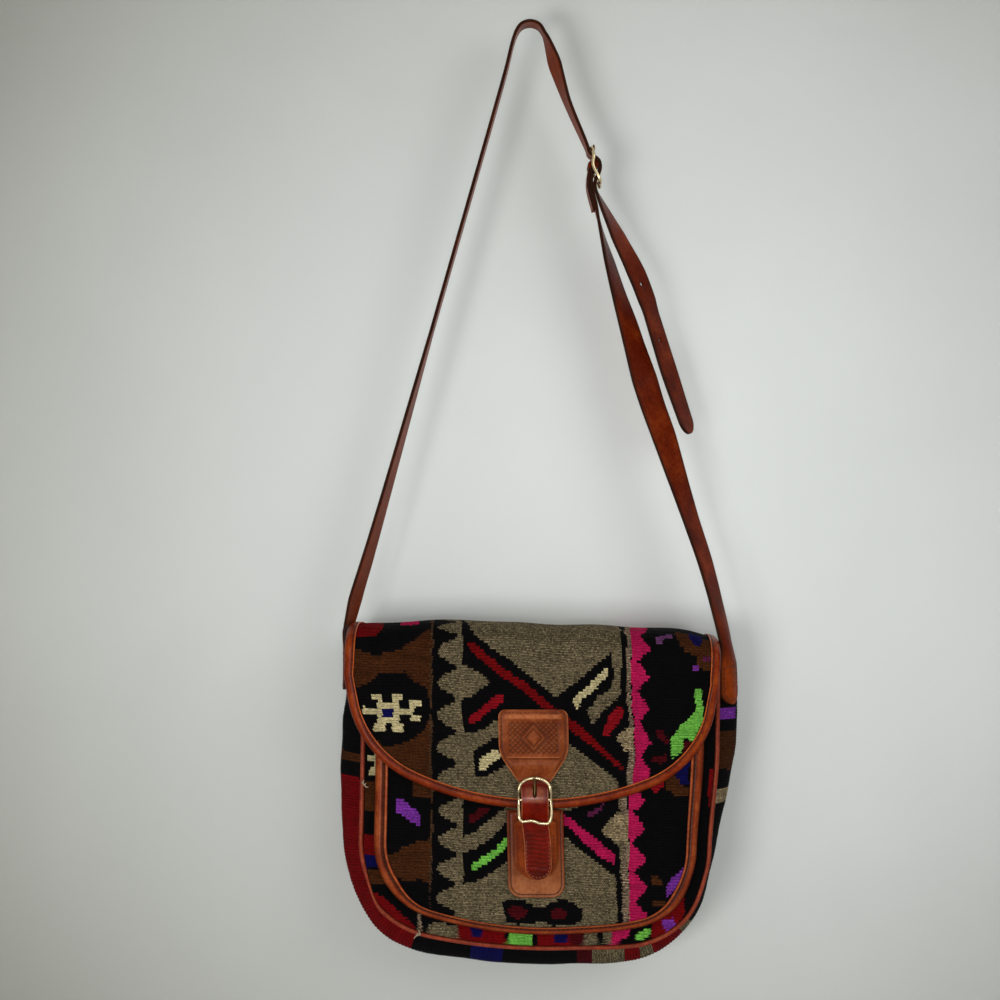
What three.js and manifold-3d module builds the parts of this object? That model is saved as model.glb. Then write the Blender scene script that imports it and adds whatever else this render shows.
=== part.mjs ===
// A flat-woven wool shoulder bag with leather trim, brass buckles and an adjustable strap.
// Millimetres, +Z up, front towards -Y. The origin is the underside of the strap's crown,
// where the bag hangs on a peg.
import * as THREE from 'three';
import { mergeVertices } from 'three/addons/utils/BufferGeometryUtils.js';
import Module from 'manifold-3d';

const wasm = await Module();
wasm.setup();

// Cloth, leather and clearances
const CLOTH = 3; // thickness of the woven cloth
const GAP = 0.3; // clearance between pieces that touch
const BINDING_LEATHER = 1; // leather of the edge bindings
const PIPING_RADIUS = 1.6;

// Body, measured from the crest of the top fold in a straight frame of its own
const BODY_HALF_WIDTH = 119; // middle to side seam
const BODY_DEPTH = 56; // front face to back face
const BODY_DROP = 215; // fold to bottom seam
const BODY_CORNER = 62; // radius of the bottom corners
const BODY_BOW = 400; // radius of the bottom edge
const FOLD_RISE = 20; // height of the rounded top
const FOLD_DROOP = 4; // the ends of the fold hang lower than its middle
const MOUTH_DROP = 24; // fold to the top edges of front panel and gusset
const MOUTH_BULGE = 8; // gusset bows out past the seams at the mouth
const GUSSET_BULGE = 14; // the same below it
const GUSSET_SAG = 3; // more of it along the bottom

// Outer pocket
const POCKET_INSET = 12.5; // side seam to the edge of the pocket
const POCKET_DROP = 52; // fold to the pocket's mouth
const POCKET_PUFF = 5.7; // the middle stands out from the edge
const POCKET_EASE = 28; // width of the rise from edge to middle
const POCKET_BINDING_WIDTH = 9;

// Flap
const FLAP_OVERHANG = 5.6; // flap edge past the side seam
const FLAP_TOP_OVERHANG = 2; // the same at the fold
const FLAP_DROP = 122; // fold to the lowest edge
const FLAP_CORNER = 75;
const FLAP_BOW = 200;
const FLAP_EASE = 7; // the sides lie further back than the middle
const FLAP_EASE_POWER = 8; // the ease gathers near the sides
const FLAP_BINDING_WIDTH = 6.7;

// How the bag hangs
const FOLD_BELOW_CROWN = 405;
const MIDDLE_X = 4.2; // the bag's middle is a little to the right of the crown
const HANG_SLOPE = THREE.MathUtils.degToRad(1.8); // the soft body hangs lower on the right
const BODY_SWAY = 4; // its bottom hangs to the left of its top

// Buckles: a wire frame with an arched top, a bar across its middle and a waved foot
const WIRE_RADIUS = 1.1;
const BAR_RADIUS = 1.1;
const BAR_PLAY = 0.25; // leather loop and prong eye round the bar
const FRAME_SET = 2; // the frame stands in front of its bar
const FRAME_PLAY = 0.5; // strap edge to wire
const FRAME_CRANK = 7; // length over which the sides bend back to the bar
const ROCK_ROOM = 1.4; // room behind the foot for the frame to rock
const PRONG_RADIUS = 0.8;
const EYE_LEATHER_PLAY = 0.5; // prong eye to the slot in the leather loop
const EYE_WIDTH = 2.4;
const EYE_WALL = 0.9;
const PRONG_TIP = 1.7; // prong past the wire
const FRAME_SHOULDER = 0.62; // start of the arch, as a share of the reach
// Outline below the bar, as shares of the frame's half-width and reach
const FRAME_FOOT = [
  [-1, 0],
  [-1, -0.8],
  [-0.86, -0.95],
  [-0.2, -0.93],
  [0.35, -1.05],
  [0.84, -1.02],
  [1, -0.8],
  [1, 0],
];
// A strap from the arch up over the bar, then from the bar down to the foot:
// shares of the reach and of the climb or the fall
const STRAP_CLIMB = [
  [1, 0],
  [0.7, 0.04],
  [0.45, 0.5],
  [0.2, 0.93],
  [0, 1],
];
const STRAP_FALL = [
  [0.28, 0.12],
  [0.5, 0.4],
  [0.66, 0.68],
  [0.82, 0.92],
  [1, 1],
];
// Prong from its eye to the arch: shares of the reach and of the rise
const PRONG_RISE = [
  [0.06, 0],
  [0.34, 0.15],
  [0.55, 0.3],
  [0.76, 0.58],
  [1, 1],
];
const SLOT_REACH = [0.14, 0.64]; // ends of the prong's slot in the strap

// Closure in the middle of the flap
const CLOSURE_DROP = 115; // fold to the closure's bar
const CLOSURE_STRAP_WIDTH = 17.6;
const CLOSURE_LEATHER = 1.8;
const CLOSURE_REACH = 14.5; // bar to the wire at arch and foot
const CHAPE_LEATHER = 1.5;
const CHAPE_NECK_WIDTH = 15.5;
const CHAPE_WIDTH = 28;
const CHAPE_FLARE = 11.6; // bar to where the chape grows wider
const CHAPE_LENGTH = 53.5; // bar to the round end
// The chape clears the flap's edge, then falls behind the foot: shares of reach and fall
const CHAPE_FALL = [
  [0.07, 0],
  [0.34, 0],
  [0.48, 0.16],
  [0.7, 0.6],
  [0.85, 0.93],
  [1, 1],
];
const TAIL_LENGTH = 53; // bar to the tip of the closure strap
const TAB_WIDTH = 46;
const TAB_LENGTH = 59; // bar to the top edge of the tab
const TAB_STRAIGHT = 24; // length of the tab's straight sides
const TAB_CORNER = 5;
const FOOT_RUN = 7; // from the frame's wire to where tab or tail lies flat
const RIB_PITCH = 3.7; // ribs tooled across the closure strap's tail
const RIB_HEIGHT = 0.5;
const RIB_MARGIN = 7; // plain leather at both ends of the ribs
const PATCH_WIDTH = 37.6;
const PATCH_LENGTH = 65.8; // bar to the lower edge
const PATCH_CORNER = 9;
const PATCH_LEATHER = 1.8;

// Shoulder strap
const STRAP_WIDTH = 19;
const STRAP_LEATHER = 2.2;
const STRAP_REACH = 13;
const CROWN_RADIUS = 9; // bend over the peg
const SEWN_LENGTH = 27; // strap end on the gusset, down from the mouth
const STRAP_BUCKLE_X = 42.5;
const STRAP_BUCKLE_DROP = 96.6; // crown to the bar
const STRAP_BUCKLE_LEAN = THREE.MathUtils.degToRad(13.5);
const SEAM_OVERLAP = 0.1; // the two plies of the folded end are one piece
const STUB_LENGTH = 29; // folded end of the short strap below the bar
const STRAP_HOLE_RADIUS = 2;
const RIGHT_LEG_BOW = 0.6; // outward bow between crown and buckle
// Free tail from the buckle's foot: right, down and turn in degrees
const TAIL_ROUTE = [
  [13.9, 46.2, 12],
  [30.5, 71, 22],
  [37.1, 90.4, 24],
  [39.1, 98.6, 28],
  [50.7, 139.4, 38],
  [63.5, 181.4, 30],
];
// Holes in the tail, as distances from its tip
const TAIL_HOLES = [67, 107];

// Facets
const SIDE_STEPS = 3;
const CORNER_STEPS = 7;
const BOTTOM_STEPS = 5;
const FOLD_STEPS = 10;
const ROUND_STEPS = 5;
const TIP_SHARE = 0.35; // a round end starts with a short straight edge
const WIRE_SIDES = 8;
const PIPING_SIDES = 6;
const BAND_SPANS = 4; // spans across a strap
const BAND_SPACING = 14; // along a strap
const TAB_SPACING = 5; // along the closure's tab
const BEND_SPACING = 2.4; // along a strap where it bends
const ROUTE_STEPS = 40;
const ARCH_STEPS = 8;
const FRAME_STEPS = 40;
const HOLE_SIDES = 12;
const BOTTOM_FLAT = 8; // half-width of the lowest row of a sheet

const BRASS = { color: 0xc9ab62, roughness: 0.28, metalness: 1 };
const WOOL = { color: 0x493f2a, roughness: 0.95, metalness: 0 };
const DARK_WOOL = { color: 0x2a1712, roughness: 0.95, metalness: 0 };
const LEATHER = { color: 0x742c10, roughness: 0.45, metalness: 0 };
const TAB_LEATHER = { color: 0x7d4222, roughness: 0.5, metalness: 0 };
const STRAP_BROWN = { color: 0x581902, roughness: 0.4, metalness: 0 };

const group = new THREE.Group();

// Solids

// Turns every triangle so that the closed surface faces outwards
function facingOut(positions, index) {
  let volume = 0;
  const corner = [new THREE.Vector3(), new THREE.Vector3(), new THREE.Vector3()];
  for (let i = 0; i < index.length; i += 3) {
    corner.forEach((v, k) => v.fromArray(positions, index[i + k] * 3));
    volume += corner[0].dot(corner[1].cross(corner[2]));
  }
  if (volume < 0) {
    index.reverse();
  }
  const geometry = new THREE.BufferGeometry();
  geometry.setAttribute('position', new THREE.Float32BufferAttribute(positions, 3));
  geometry.setIndex(index);
  return geometry;
}

// A solid through rings of equal size; outline is the flat ring that closes both ends
function loft(rings, outline = null) {
  const size = rings[0].length;
  const positions = rings.flat().flatMap((p) => p.toArray());
  const index = [];
  const spans = outline ? rings.length - 1 : rings.length;
  for (let i = 0; i < spans; i += 1) {
    const near = i * size;
    const far = ((i + 1) % rings.length) * size;
    for (let j = 0; j < size; j += 1) {
      const next = (j + 1) % size;
      index.push(near + j, near + next, far + next, near + j, far + next, far + j);
    }
  }
  if (outline) {
    const far = (rings.length - 1) * size;
    const flat = outline.map(([a, b]) => new THREE.Vector2(a, b));
    const forward = Math.sign(THREE.ShapeUtils.area(flat));
    THREE.ShapeUtils.triangulateShape(flat, []).forEach(([a, b, c]) => {
      const same = Math.sign(THREE.ShapeUtils.area([flat[a], flat[b], flat[c]])) === forward;
      const [p, q] = same ? [b, c] : [c, b];
      index.push(a, q, p, far + a, far + p, far + q);
    });
  }
  return facingOut(positions, index);
}

// The flat outline of a strip with the same number of points on both faces
function stripOutline(columns) {
  const outer = Array.from({ length: columns }, (_, j) => [j, 1]);
  const inner = Array.from({ length: columns }, (_, j) => [columns - 1 - j, 0]);
  return [...outer, ...inner];
}

// A sheet of cloth from rows of points on its two faces
function sheet(outer, inner) {
  const rings = outer.map((row, i) => [...row, ...inner[i].toReversed()]);
  return loft(rings, stripOutline(outer[0].length));
}

function toSolid(geometry) {
  const bare = geometry.clone();
  bare.deleteAttribute('normal');
  bare.deleteAttribute('uv');
  const merged = mergeVertices(bare, 1e-4);
  const mesh = new wasm.Mesh({
    numProp: 3,
    vertProperties: new Float32Array(merged.attributes.position.array),
    triVerts: new Uint32Array(merged.index.array),
  });
  return new wasm.Manifold(mesh);
}

function toGeometry(solid) {
  const mesh = solid.getMesh();
  const geometry = new THREE.BufferGeometry();
  geometry.setAttribute('position', new THREE.Float32BufferAttribute(mesh.vertProperties, 3));
  geometry.setIndex([...mesh.triVerts]);
  return geometry;
}

function joined(...geometries) {
  return toGeometry(geometries.map(toSolid).reduce((a, b) => a.add(b)));
}

function cut(geometry, ...tools) {
  return toGeometry(tools.map(toSolid).reduce((a, b) => a.subtract(b), toSolid(geometry)));
}

function circle(radius, sides) {
  return Array.from({ length: sides }, (_, i) => {
    const a = (i / sides) * 2 * Math.PI;
    return [radius * Math.cos(a), radius * Math.sin(a)];
  });
}

function add(name, geometry, look, parent = group) {
  geometry.computeVertexNormals();
  const mesh = new THREE.Mesh(geometry, new THREE.MeshStandardMaterial(look));
  mesh.name = name;
  parent.add(mesh);
}

// Hangs a point of the soft body's straight frame from the strap
function hang(point) {
  const sway = BODY_SWAY * (point.z / BODY_DROP) ** 2;
  const fall = point.x * Math.tan(HANG_SLOPE);
  return point.set(point.x - sway + MIDDLE_X, point.y, point.z - fall - FOLD_BELOW_CROWN);
}

function addToBody(name, geometry, look) {
  const { position } = geometry.attributes;
  const point = new THREE.Vector3();
  for (let i = 0; i < position.count; i += 1) {
    hang(point.fromBufferAttribute(position, i));
    position.setXYZ(i, point.x, point.y, point.z);
  }
  add(name, geometry, look);
}

// U-shaped outlines: straight sides, round corners and a bowed bottom

const bodyU = {
  topHalf: BODY_HALF_WIDTH,
  half: BODY_HALF_WIDTH,
  top: -MOUTH_DROP,
  bottom: -BODY_DROP,
  corner: BODY_CORNER,
  bow: BODY_BOW,
};
const backU = { ...bodyU, top: -FOLD_RISE };
const pocketU = { ...inset(bodyU, POCKET_INSET), top: -POCKET_DROP };
const flapU = {
  topHalf: BODY_HALF_WIDTH + FLAP_TOP_OVERHANG,
  half: BODY_HALF_WIDTH + FLAP_OVERHANG,
  top: -FOLD_RISE,
  bottom: -FLAP_DROP,
  corner: FLAP_CORNER,
  bow: FLAP_BOW,
};

function inset(u, distance) {
  return {
    topHalf: u.topHalf - distance,
    half: u.half - distance,
    top: u.top,
    bottom: u.bottom + distance,
    corner: u.corner - distance,
    bow: u.bow - distance,
  };
}

function centres(u) {
  const side = u.half - u.corner;
  const bowHeight = u.bottom + u.bow;
  const height = bowHeight - Math.sqrt((u.bow - u.corner) ** 2 - side ** 2);
  return { side, height, bowHeight, meet: Math.atan2(side, bowHeight - height) };
}

// Right half from the top to the bottom, with outward normals
function rightHalf(u, lowest = 0) {
  const { side, height, bowHeight, meet } = centres(u);
  const points = [];
  for (let i = 0; i < SIDE_STEPS; i += 1) {
    const share = i / SIDE_STEPS;
    const x = THREE.MathUtils.lerp(u.topHalf, u.half, share);
    points.push({ x, z: THREE.MathUtils.lerp(u.top, height, share), nx: 1, nz: 0 });
  }
  for (let i = 0; i < CORNER_STEPS; i += 1) {
    const a = THREE.MathUtils.lerp(Math.PI / 2, meet, i / CORNER_STEPS);
    const nx = Math.sin(a);
    const nz = -Math.cos(a);
    points.push({ x: side + u.corner * nx, z: height + u.corner * nz, nx, nz });
  }
  for (let i = 0; i <= BOTTOM_STEPS; i += 1) {
    const a = THREE.MathUtils.lerp(meet, Math.asin(lowest / u.bow), i / BOTTOM_STEPS);
    const nx = Math.sin(a);
    const nz = -Math.cos(a);
    points.push({ x: u.bow * nx, z: bowHeight + u.bow * nz, nx, nz });
  }
  return points;
}

// The whole U from the left top round to the right top
function wholeU(u) {
  const right = rightHalf(u);
  const left = right.map((p) => ({ ...p, x: -p.x, nx: -p.nx }));
  return [...left, ...right.toReversed().slice(1)];
}

// How far a point lies inside the U
function depthInside(u, x, z) {
  const { side, height, bowHeight, meet } = centres(u);
  const across = Math.abs(x);
  if (z >= height) {
    return u.half - across;
  }
  if (Math.atan2(across, bowHeight - z) < meet) {
    return u.bow - Math.hypot(across, bowHeight - z);
  }
  return u.corner - Math.hypot(Math.max(across - side, 0), height - z);
}

// Cloth faces: m is the distance from the middle of the cloth, outwards

const bindingHalf = CLOTH / 2 + GAP + BINDING_LEATHER;
const frontFace = -BODY_DEPTH / 2;
const pocketEdge = frontFace - GAP - bindingHalf;
const pocketMiddle = pocketEdge - POCKET_PUFF;
const pocketFace = pocketMiddle - CLOTH / 2;
const flapMiddle = pocketFace - GAP - bindingHalf;
const flapFace = flapMiddle - CLOTH / 2;

const frontPoint = (x, z, m) => new THREE.Vector3(x, frontFace + CLOTH / 2 - m, z);
const backPoint = (x, z, m) => new THREE.Vector3(x, BODY_DEPTH / 2 - CLOTH / 2 + m, z);

function pocketPoint(x, z, m) {
  const inside = THREE.MathUtils.clamp(depthInside(pocketU, x, z) / POCKET_EASE, 0, 1);
  const rise = 1 - (1 - inside) ** 2;
  return new THREE.Vector3(x, pocketEdge - POCKET_PUFF * rise - m, z);
}

function flapDepth(x) {
  return flapMiddle + FLAP_EASE * (Math.abs(x) / flapU.half) ** FLAP_EASE_POWER;
}

const flapPoint = (x, z, m) => new THREE.Vector3(x, flapDepth(x) - m, z);

// Round the top from back (turn 0) to front (turn PI)
function foldPoint(x, turn, m) {
  const back = BODY_DEPTH / 2 - CLOTH / 2;
  const front = flapDepth(x);
  const radius = (back - front) / 2;
  const rise = FOLD_RISE - CLOTH / 2;
  const normal = new THREE.Vector2(Math.cos(turn) / radius, Math.sin(turn) / rise).normalize();
  const droop = FOLD_DROOP * (Math.abs(x) / backU.half) ** 6 * Math.sin(turn);
  return new THREE.Vector3(
    x,
    (back + front) / 2 + radius * Math.cos(turn) + normal.x * m,
    rise * Math.sin(turn) - FOLD_RISE - droop + normal.y * m,
  );
}

// A sheet from rows that know their half-width and their point at x and m
function clothFromRows(rows, shares = columns) {
  const face = (m) => rows.map((row) => shares.map((share) => row.at(share * row.half, m)));
  return sheet(face(CLOTH / 2), face(-CLOTH / 2));
}

function rowsOf(u, point) {
  return rightHalf(u, BOTTOM_FLAT).map(({ x, z }) => ({ half: x, at: (px, m) => point(px, z, m) }));
}

const foldRows = [];
for (let i = 1; i < FOLD_STEPS; i += 1) {
  const share = i / FOLD_STEPS;
  const half = THREE.MathUtils.lerp(backU.half, flapU.topHalf, share);
  foldRows.push({ half, at: (x, m) => foldPoint(x, share * Math.PI, m) });
}

// Woven panels

const bindingInset = BINDING_LEATHER + GAP;
// Columns of a sheet as shares of its half-width, closer together towards the edges
const edgeColumns = [1, 0.95, 0.88, 0.78, 0.6, 0.3];
const columns = [...edgeColumns.map((share) => -share), 0, ...edgeColumns.toReversed()];

function backAndFlap() {
  const fold = foldRows.map((row) => ({ ...row, half: row.half - bindingInset }));
  const back = rowsOf(backU, backPoint).toReversed();
  return clothFromRows([...back, ...fold, ...rowsOf(inset(flapU, bindingInset), flapPoint)]);
}

const gussetReach = BODY_DEPTH / 2 - CLOTH - GAP;

// Section of the gusset across its width, bowed outwards
function gussetSection(bulge) {
  const bow = (share) => bulge * (1 - share ** 2);
  const shares = [-1, -0.8, -0.5, 0, 0.5, 0.8, 1];
  const outer = shares.map((share) => [bow(share), share * gussetReach]);
  const inner = shares.toReversed().map((share) => [bow(share) - CLOTH, share * gussetReach]);
  return [...outer, ...inner];
}

function alongU(u, section) {
  const rings = wholeU(u).map(({ x, z, nx, nz }) =>
    section(z, nz).map(([n, y]) => new THREE.Vector3(x + nx * n, y, z + nz * n)),
  );
  return loft(rings, section(u.top, 0));
}

// The bulge grows from the mouth over the first step of the side
const bulgeRun = (bodyU.top - centres(bodyU).height) / SIDE_STEPS;

function gussetBulge(z, nz = 0) {
  const grown = THREE.MathUtils.clamp((bodyU.top - z) / bulgeRun, 0, 1);
  return THREE.MathUtils.lerp(MOUTH_BULGE, GUSSET_BULGE, grown) + GUSSET_SAG * nz ** 4;
}

function piping(side) {
  const out = GAP + PIPING_RADIUS;
  const depth = side * (BODY_DEPTH / 2 - PIPING_RADIUS - GAP);
  return alongU(bodyU, () => circle(PIPING_RADIUS, PIPING_SIDES).map(([n, y]) => [n + out, y + depth]));
}

// Leather bindings: a folded strip that takes in the edge of the cloth.
// n runs outwards from the edge, m away from the middle of the cloth.
function bindingSection(width, groove) {
  const slot = CLOTH / 2 + GAP;
  const thick = bindingHalf;
  const lip = slot + BINDING_LEATHER / 2;
  const face = [
    [-width, lip],
    [-width + BINDING_LEATHER, thick],
    ...groove,
    [-2 * BINDING_LEATHER, thick],
    [-BINDING_LEATHER / 2, slot],
    [0, 0],
  ];
  const back = face.slice(0, -1).toReversed();
  return [
    ...face,
    ...back.map(([n, m]) => [n, -m]),
    [-width, -slot],
    [-BINDING_LEATHER, -slot],
    [-BINDING_LEATHER, slot],
    [-width, slot],
  ];
}

function bindingAlong(stations, section) {
  return loft(stations.map((at) => section.map(([n, m]) => at(n, m))), section);
}

function stationsOn(u, point) {
  return wholeU(u).map(({ x, z, nx, nz }) => (n, m) => point(x + nx * n, z + nz * n, m));
}

function flapBinding() {
  const overFold = (side) =>
    foldRows.map((row) => (n, m) => row.at(side * (row.half + n), m));
  const stations = [
    ...overFold(-1),
    ...stationsOn(flapU, flapPoint),
    ...overFold(1).toReversed(),
  ];
  return bindingAlong(stations, bindingSection(FLAP_BINDING_WIDTH, []));
}

// The pocket's binding is two rolls side by side with a stitch groove between them
function pocketBinding() {
  const middle = -POCKET_BINDING_WIDTH * 0.68;
  const groove = [
    [middle - BINDING_LEATHER, bindingHalf],
    [middle, CLOTH / 2 + GAP + BINDING_LEATHER / 2],
    [middle + BINDING_LEATHER, bindingHalf],
  ];
  return bindingAlong(stationsOn(pocketU, pocketPoint), bindingSection(POCKET_BINDING_WIDTH, groove));
}

addToBody('back_and_flap', backAndFlap(), WOOL);
addToBody('front_panel', clothFromRows(rowsOf(bodyU, frontPoint), [-1, 0, 1]), DARK_WOOL);
addToBody('gusset', alongU(bodyU, (z, nz) => gussetSection(gussetBulge(z, nz))), DARK_WOOL);
addToBody('pocket_panel', clothFromRows(rowsOf(inset(pocketU, bindingInset), pocketPoint)), WOOL);
addToBody('flap_binding', flapBinding(), LEATHER);
addToBody('pocket_binding', pocketBinding(), LEATHER);
addToBody('front_piping', piping(-1), LEATHER);
addToBody('back_piping', piping(1), LEATHER);

// Flat leather bands

// Distances along a band, closer together towards a rounded end
function stops(length, spacing, startRadius, endRadius) {
  const round = Array.from({ length: ROUND_STEPS }, (_, i) => {
    const turn = ((i + TIP_SHARE) / ROUND_STEPS) * (Math.PI / 2);
    return 1 - Math.cos(turn);
  });
  const start = startRadius ? round.map((r) => r * startRadius) : [0];
  const end = endRadius ? round.map((r) => length - r * endRadius).toReversed() : [length];
  const straight = length - startRadius - endRadius;
  const count = Math.round(straight / spacing);
  const middle = [];
  for (let i = startRadius ? 0 : 1; i <= (endRadius ? count : count - 1); i += 1) {
    middle.push(startRadius + (straight * i) / count);
  }
  return [...start, ...middle, ...end];
}

// The same distances, closer together between two of them
function denser(distances, from, to, spacing = BEND_SPACING) {
  const count = Math.round((to - from) / spacing);
  const fine = Array.from({ length: count + 1 }, (_, i) => THREE.MathUtils.lerp(from, to, i / count));
  const before = distances.filter((d) => d < from - spacing / 2);
  const after = distances.filter((d) => d > to + spacing / 2);
  return [...before, ...fine, ...after];
}

function roundedShare(distance, radius) {
  return distance < radius ? Math.sqrt(1 - (1 - distance / radius) ** 2) : 1;
}

// A band through stations with a point, a direction across, a width and a thickness;
// cup bends the edges back and rise lifts the outer face
function band(stations) {
  const rings = stations.map(({ point, across, out, width, thickness, cup = 0, rise = 0 }) => {
    const ring = [];
    const place = (share, height) =>
      point
        .clone()
        .addScaledVector(across, (share * width) / 2)
        .addScaledVector(out, height - cup * ((share * width) / 2) ** 2);
    for (let j = 0; j <= BAND_SPANS; j += 1) {
      ring.push(place((2 * j) / BAND_SPANS - 1, thickness / 2 + rise));
    }
    for (let j = BAND_SPANS; j >= 0; j -= 1) {
      ring.push(place((2 * j) / BAND_SPANS - 1, -thickness / 2));
    }
    return ring;
  });
  return loft(rings, stripOutline(BAND_SPANS + 1));
}

// Stations along a smooth route; each control point carries its own values after the place
function alongRoute(controls, place, distances) {
  const curve = new THREE.CatmullRomCurve3(controls.map(place), false, 'centripetal');
  curve.arcLengthDivisions = ROUTE_STEPS * (controls.length - 1);
  const length = curve.getLength();
  const distanceTo = (control) => curve.getLengths()[ROUTE_STEPS * controls.indexOf(control)];
  return distances(length, distanceTo).map((distance) => {
    const u = distance / length;
    const t = curve.getUtoTmapping(u);
    const from = Math.min(Math.floor(t * (controls.length - 1)), controls.length - 2);
    const share = t * (controls.length - 1) - from;
    const value = (k) => THREE.MathUtils.lerp(controls[from][k], controls[from + 1][k], share);
    return { point: curve.getPoint(t), tangent: curve.getTangent(t), distance, length, value };
  });
}

// Buckles stand in a frame of their own: x along the bar, z towards the arch, -y to the front.
// A route through a buckle is written as [z, front] with the bar at [0, 0].

const ringRadius = (leather) => BAR_RADIUS + BAR_PLAY + leather;

// From behind the arch over the bar to behind the foot
function threadedRoute(leather, loopLeather, reach) {
  const over = ringRadius(loopLeather) + GAP + leather / 2;
  const arch = FRAME_SET - WIRE_RADIUS - GAP - leather / 2;
  const foot = FRAME_SET - WIRE_RADIUS - ROCK_ROOM - leather / 2;
  return [
    ...STRAP_CLIMB.map(([z, share]) => [z * reach, THREE.MathUtils.lerp(arch, over, share)]),
    ...STRAP_FALL.map(([z, share]) => [-z * reach, THREE.MathUtils.lerp(over, foot, share)]),
  ];
}

function frameHalf(strapWidth) {
  return strapWidth / 2 + FRAME_PLAY + WIRE_RADIUS;
}

function buckleFrame(strapWidth, reach) {
  const half = frameHalf(strapWidth);
  const shoulder = FRAME_SHOULDER * reach;
  const outline = [];
  for (let i = 0; i <= ARCH_STEPS; i += 1) {
    const a = (i / ARCH_STEPS) * Math.PI;
    outline.push([half * Math.cos(a), shoulder + (reach - shoulder) * Math.sin(a)]);
  }
  outline.push(...FRAME_FOOT.map(([x, z]) => [x * half, z * reach]));
  const crank = (z) => FRAME_SET * THREE.MathUtils.smoothstep(Math.abs(z), 0, FRAME_CRANK);
  const points = outline.map(([x, z]) => new THREE.Vector3(x, -crank(z), z));
  const curve = new THREE.CatmullRomCurve3(points, true, 'centripetal');
  const front = new THREE.Vector3(0, -1, 0);
  const rings = [];
  for (let i = 0; i < FRAME_STEPS; i += 1) {
    const point = curve.getPointAt(i / FRAME_STEPS);
    const tangent = curve.getTangentAt(i / FRAME_STEPS);
    const across = tangent.clone().cross(front).normalize();
    const up = across.clone().cross(tangent).normalize();
    rings.push(
      circle(WIRE_RADIUS, WIRE_SIDES).map(([a, b]) =>
        point.clone().addScaledVector(across, a).addScaledVector(up, b),
      ),
    );
  }
  const bar = new THREE.CylinderGeometry(BAR_RADIUS, BAR_RADIUS, 2 * half, WIRE_SIDES);
  bar.rotateZ(Math.PI / 2);
  return joined(loft(rings), bar);
}

const eyeRadius = BAR_RADIUS + BAR_PLAY + EYE_WALL;

// A flat ring round the bar
function ringRoundBar(inner, outer, width) {
  const shape = new THREE.Shape();
  shape.absarc(0, 0, outer, 0, 2 * Math.PI);
  const hole = new THREE.Path();
  hole.absarc(0, 0, inner, 0, 2 * Math.PI, true);
  shape.holes.push(hole);
  const ring = new THREE.ExtrudeGeometry(shape, {
    depth: width,
    bevelEnabled: false,
    curveSegments: WIRE_SIDES,
  });
  ring.translate(0, 0, -width / 2);
  ring.rotateY(Math.PI / 2);
  return ring;
}

function buckleProng(reach) {
  const rest = FRAME_SET + WIRE_RADIUS + GAP + PRONG_RADIUS;
  const low = eyeRadius - PRONG_RADIUS;
  const route = PRONG_RISE.map(([z, share]) => [z * reach, THREE.MathUtils.lerp(low, rest, share)]);
  route.push([reach + PRONG_TIP, rest]);
  const stations = alongRoute(
    route,
    ([z, front]) => new THREE.Vector3(0, -front, z),
    (length) => stops(length, BEND_SPACING, 0, 0),
  );
  const side = new THREE.Vector3(1, 0, 0);
  const section = circle(PRONG_RADIUS, WIRE_SIDES);
  const rings = stations.map(({ point, tangent }) => {
    const up = side.clone().cross(tangent).normalize();
    return section.map(([a, b]) => point.clone().addScaledVector(side, a).addScaledVector(up, b));
  });
  return joined(ringRoundBar(BAR_RADIUS + BAR_PLAY, eyeRadius, EYE_WIDTH), loft(rings, section));
}

// Long hole for the prong, through a strap that lies over the bar
function prongSlot(reach) {
  const radius = PRONG_RADIUS + EYE_LEATHER_PLAY;
  const [low, high] = SLOT_REACH.map((share) => share * reach);
  const shape = new THREE.Shape();
  shape.absarc(0, high - radius, radius, 0, Math.PI);
  shape.absarc(0, low + radius, radius, Math.PI, 2 * Math.PI);
  const depth = 5 * FRAME_SET;
  const slot = new THREE.ExtrudeGeometry(shape, { depth, bevelEnabled: false, curveSegments: 4 });
  slot.rotateX(Math.PI / 2);
  slot.translate(0, FRAME_SET, 0);
  return slot;
}

// Bore for the bar through a leather loop
function barBore(width) {
  const radius = BAR_RADIUS + BAR_PLAY;
  const bore = new THREE.CylinderGeometry(radius, radius, 2 * width, 2 * WIRE_SIDES);
  bore.rotateZ(Math.PI / 2);
  return bore;
}

// Opening in a leather loop for the prong and its eye, out through the top of the fold
function eyeSlot(loopRadius) {
  const across = EYE_WIDTH + 2 * EYE_LEATHER_PLAY;
  const low = eyeRadius + EYE_LEATHER_PLAY;
  const high = loopRadius + EYE_LEATHER_PLAY;
  const slot = new THREE.BoxGeometry(across, 4 * loopRadius, low + high);
  slot.translate(0, 0, (high - low) / 2);
  return slot;
}

// Closure: tab on the flap, chape and patch on the pocket, buckle between them

const chapeRing = ringRadius(CHAPE_LEATHER);
const closureBarY = flapMiddle - bindingHalf - GAP - chapeRing;
const frontOf = (y) => closureBarY - y;
const patchFace = pocketFace - GAP - PATCH_LEATHER;
const chapeFlat = frontOf(patchFace) + GAP + CHAPE_LEATHER;
const closureThread = threadedRoute(CLOSURE_LEATHER, CHAPE_LEATHER, CLOSURE_REACH);
const closureFoot = closureThread.at(-1)[1];

const closure = new THREE.Group();
closure.position.set(MIDDLE_X, closureBarY, -FOLD_BELOW_CROWN - CLOSURE_DROP);
group.add(closure);

const closurePlace = ([z, front]) => new THREE.Vector3(0, -front, z);
const alongBar = new THREE.Vector3(1, 0, 0);

function closureBand(route, distances, describe) {
  const stations = alongRoute(route, closurePlace, distances).map((station) => ({
    point: station.point,
    across: alongBar,
    out: alongBar.clone().cross(station.tangent).negate(),
    ...describe(station),
  }));
  return band(stations);
}

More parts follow.
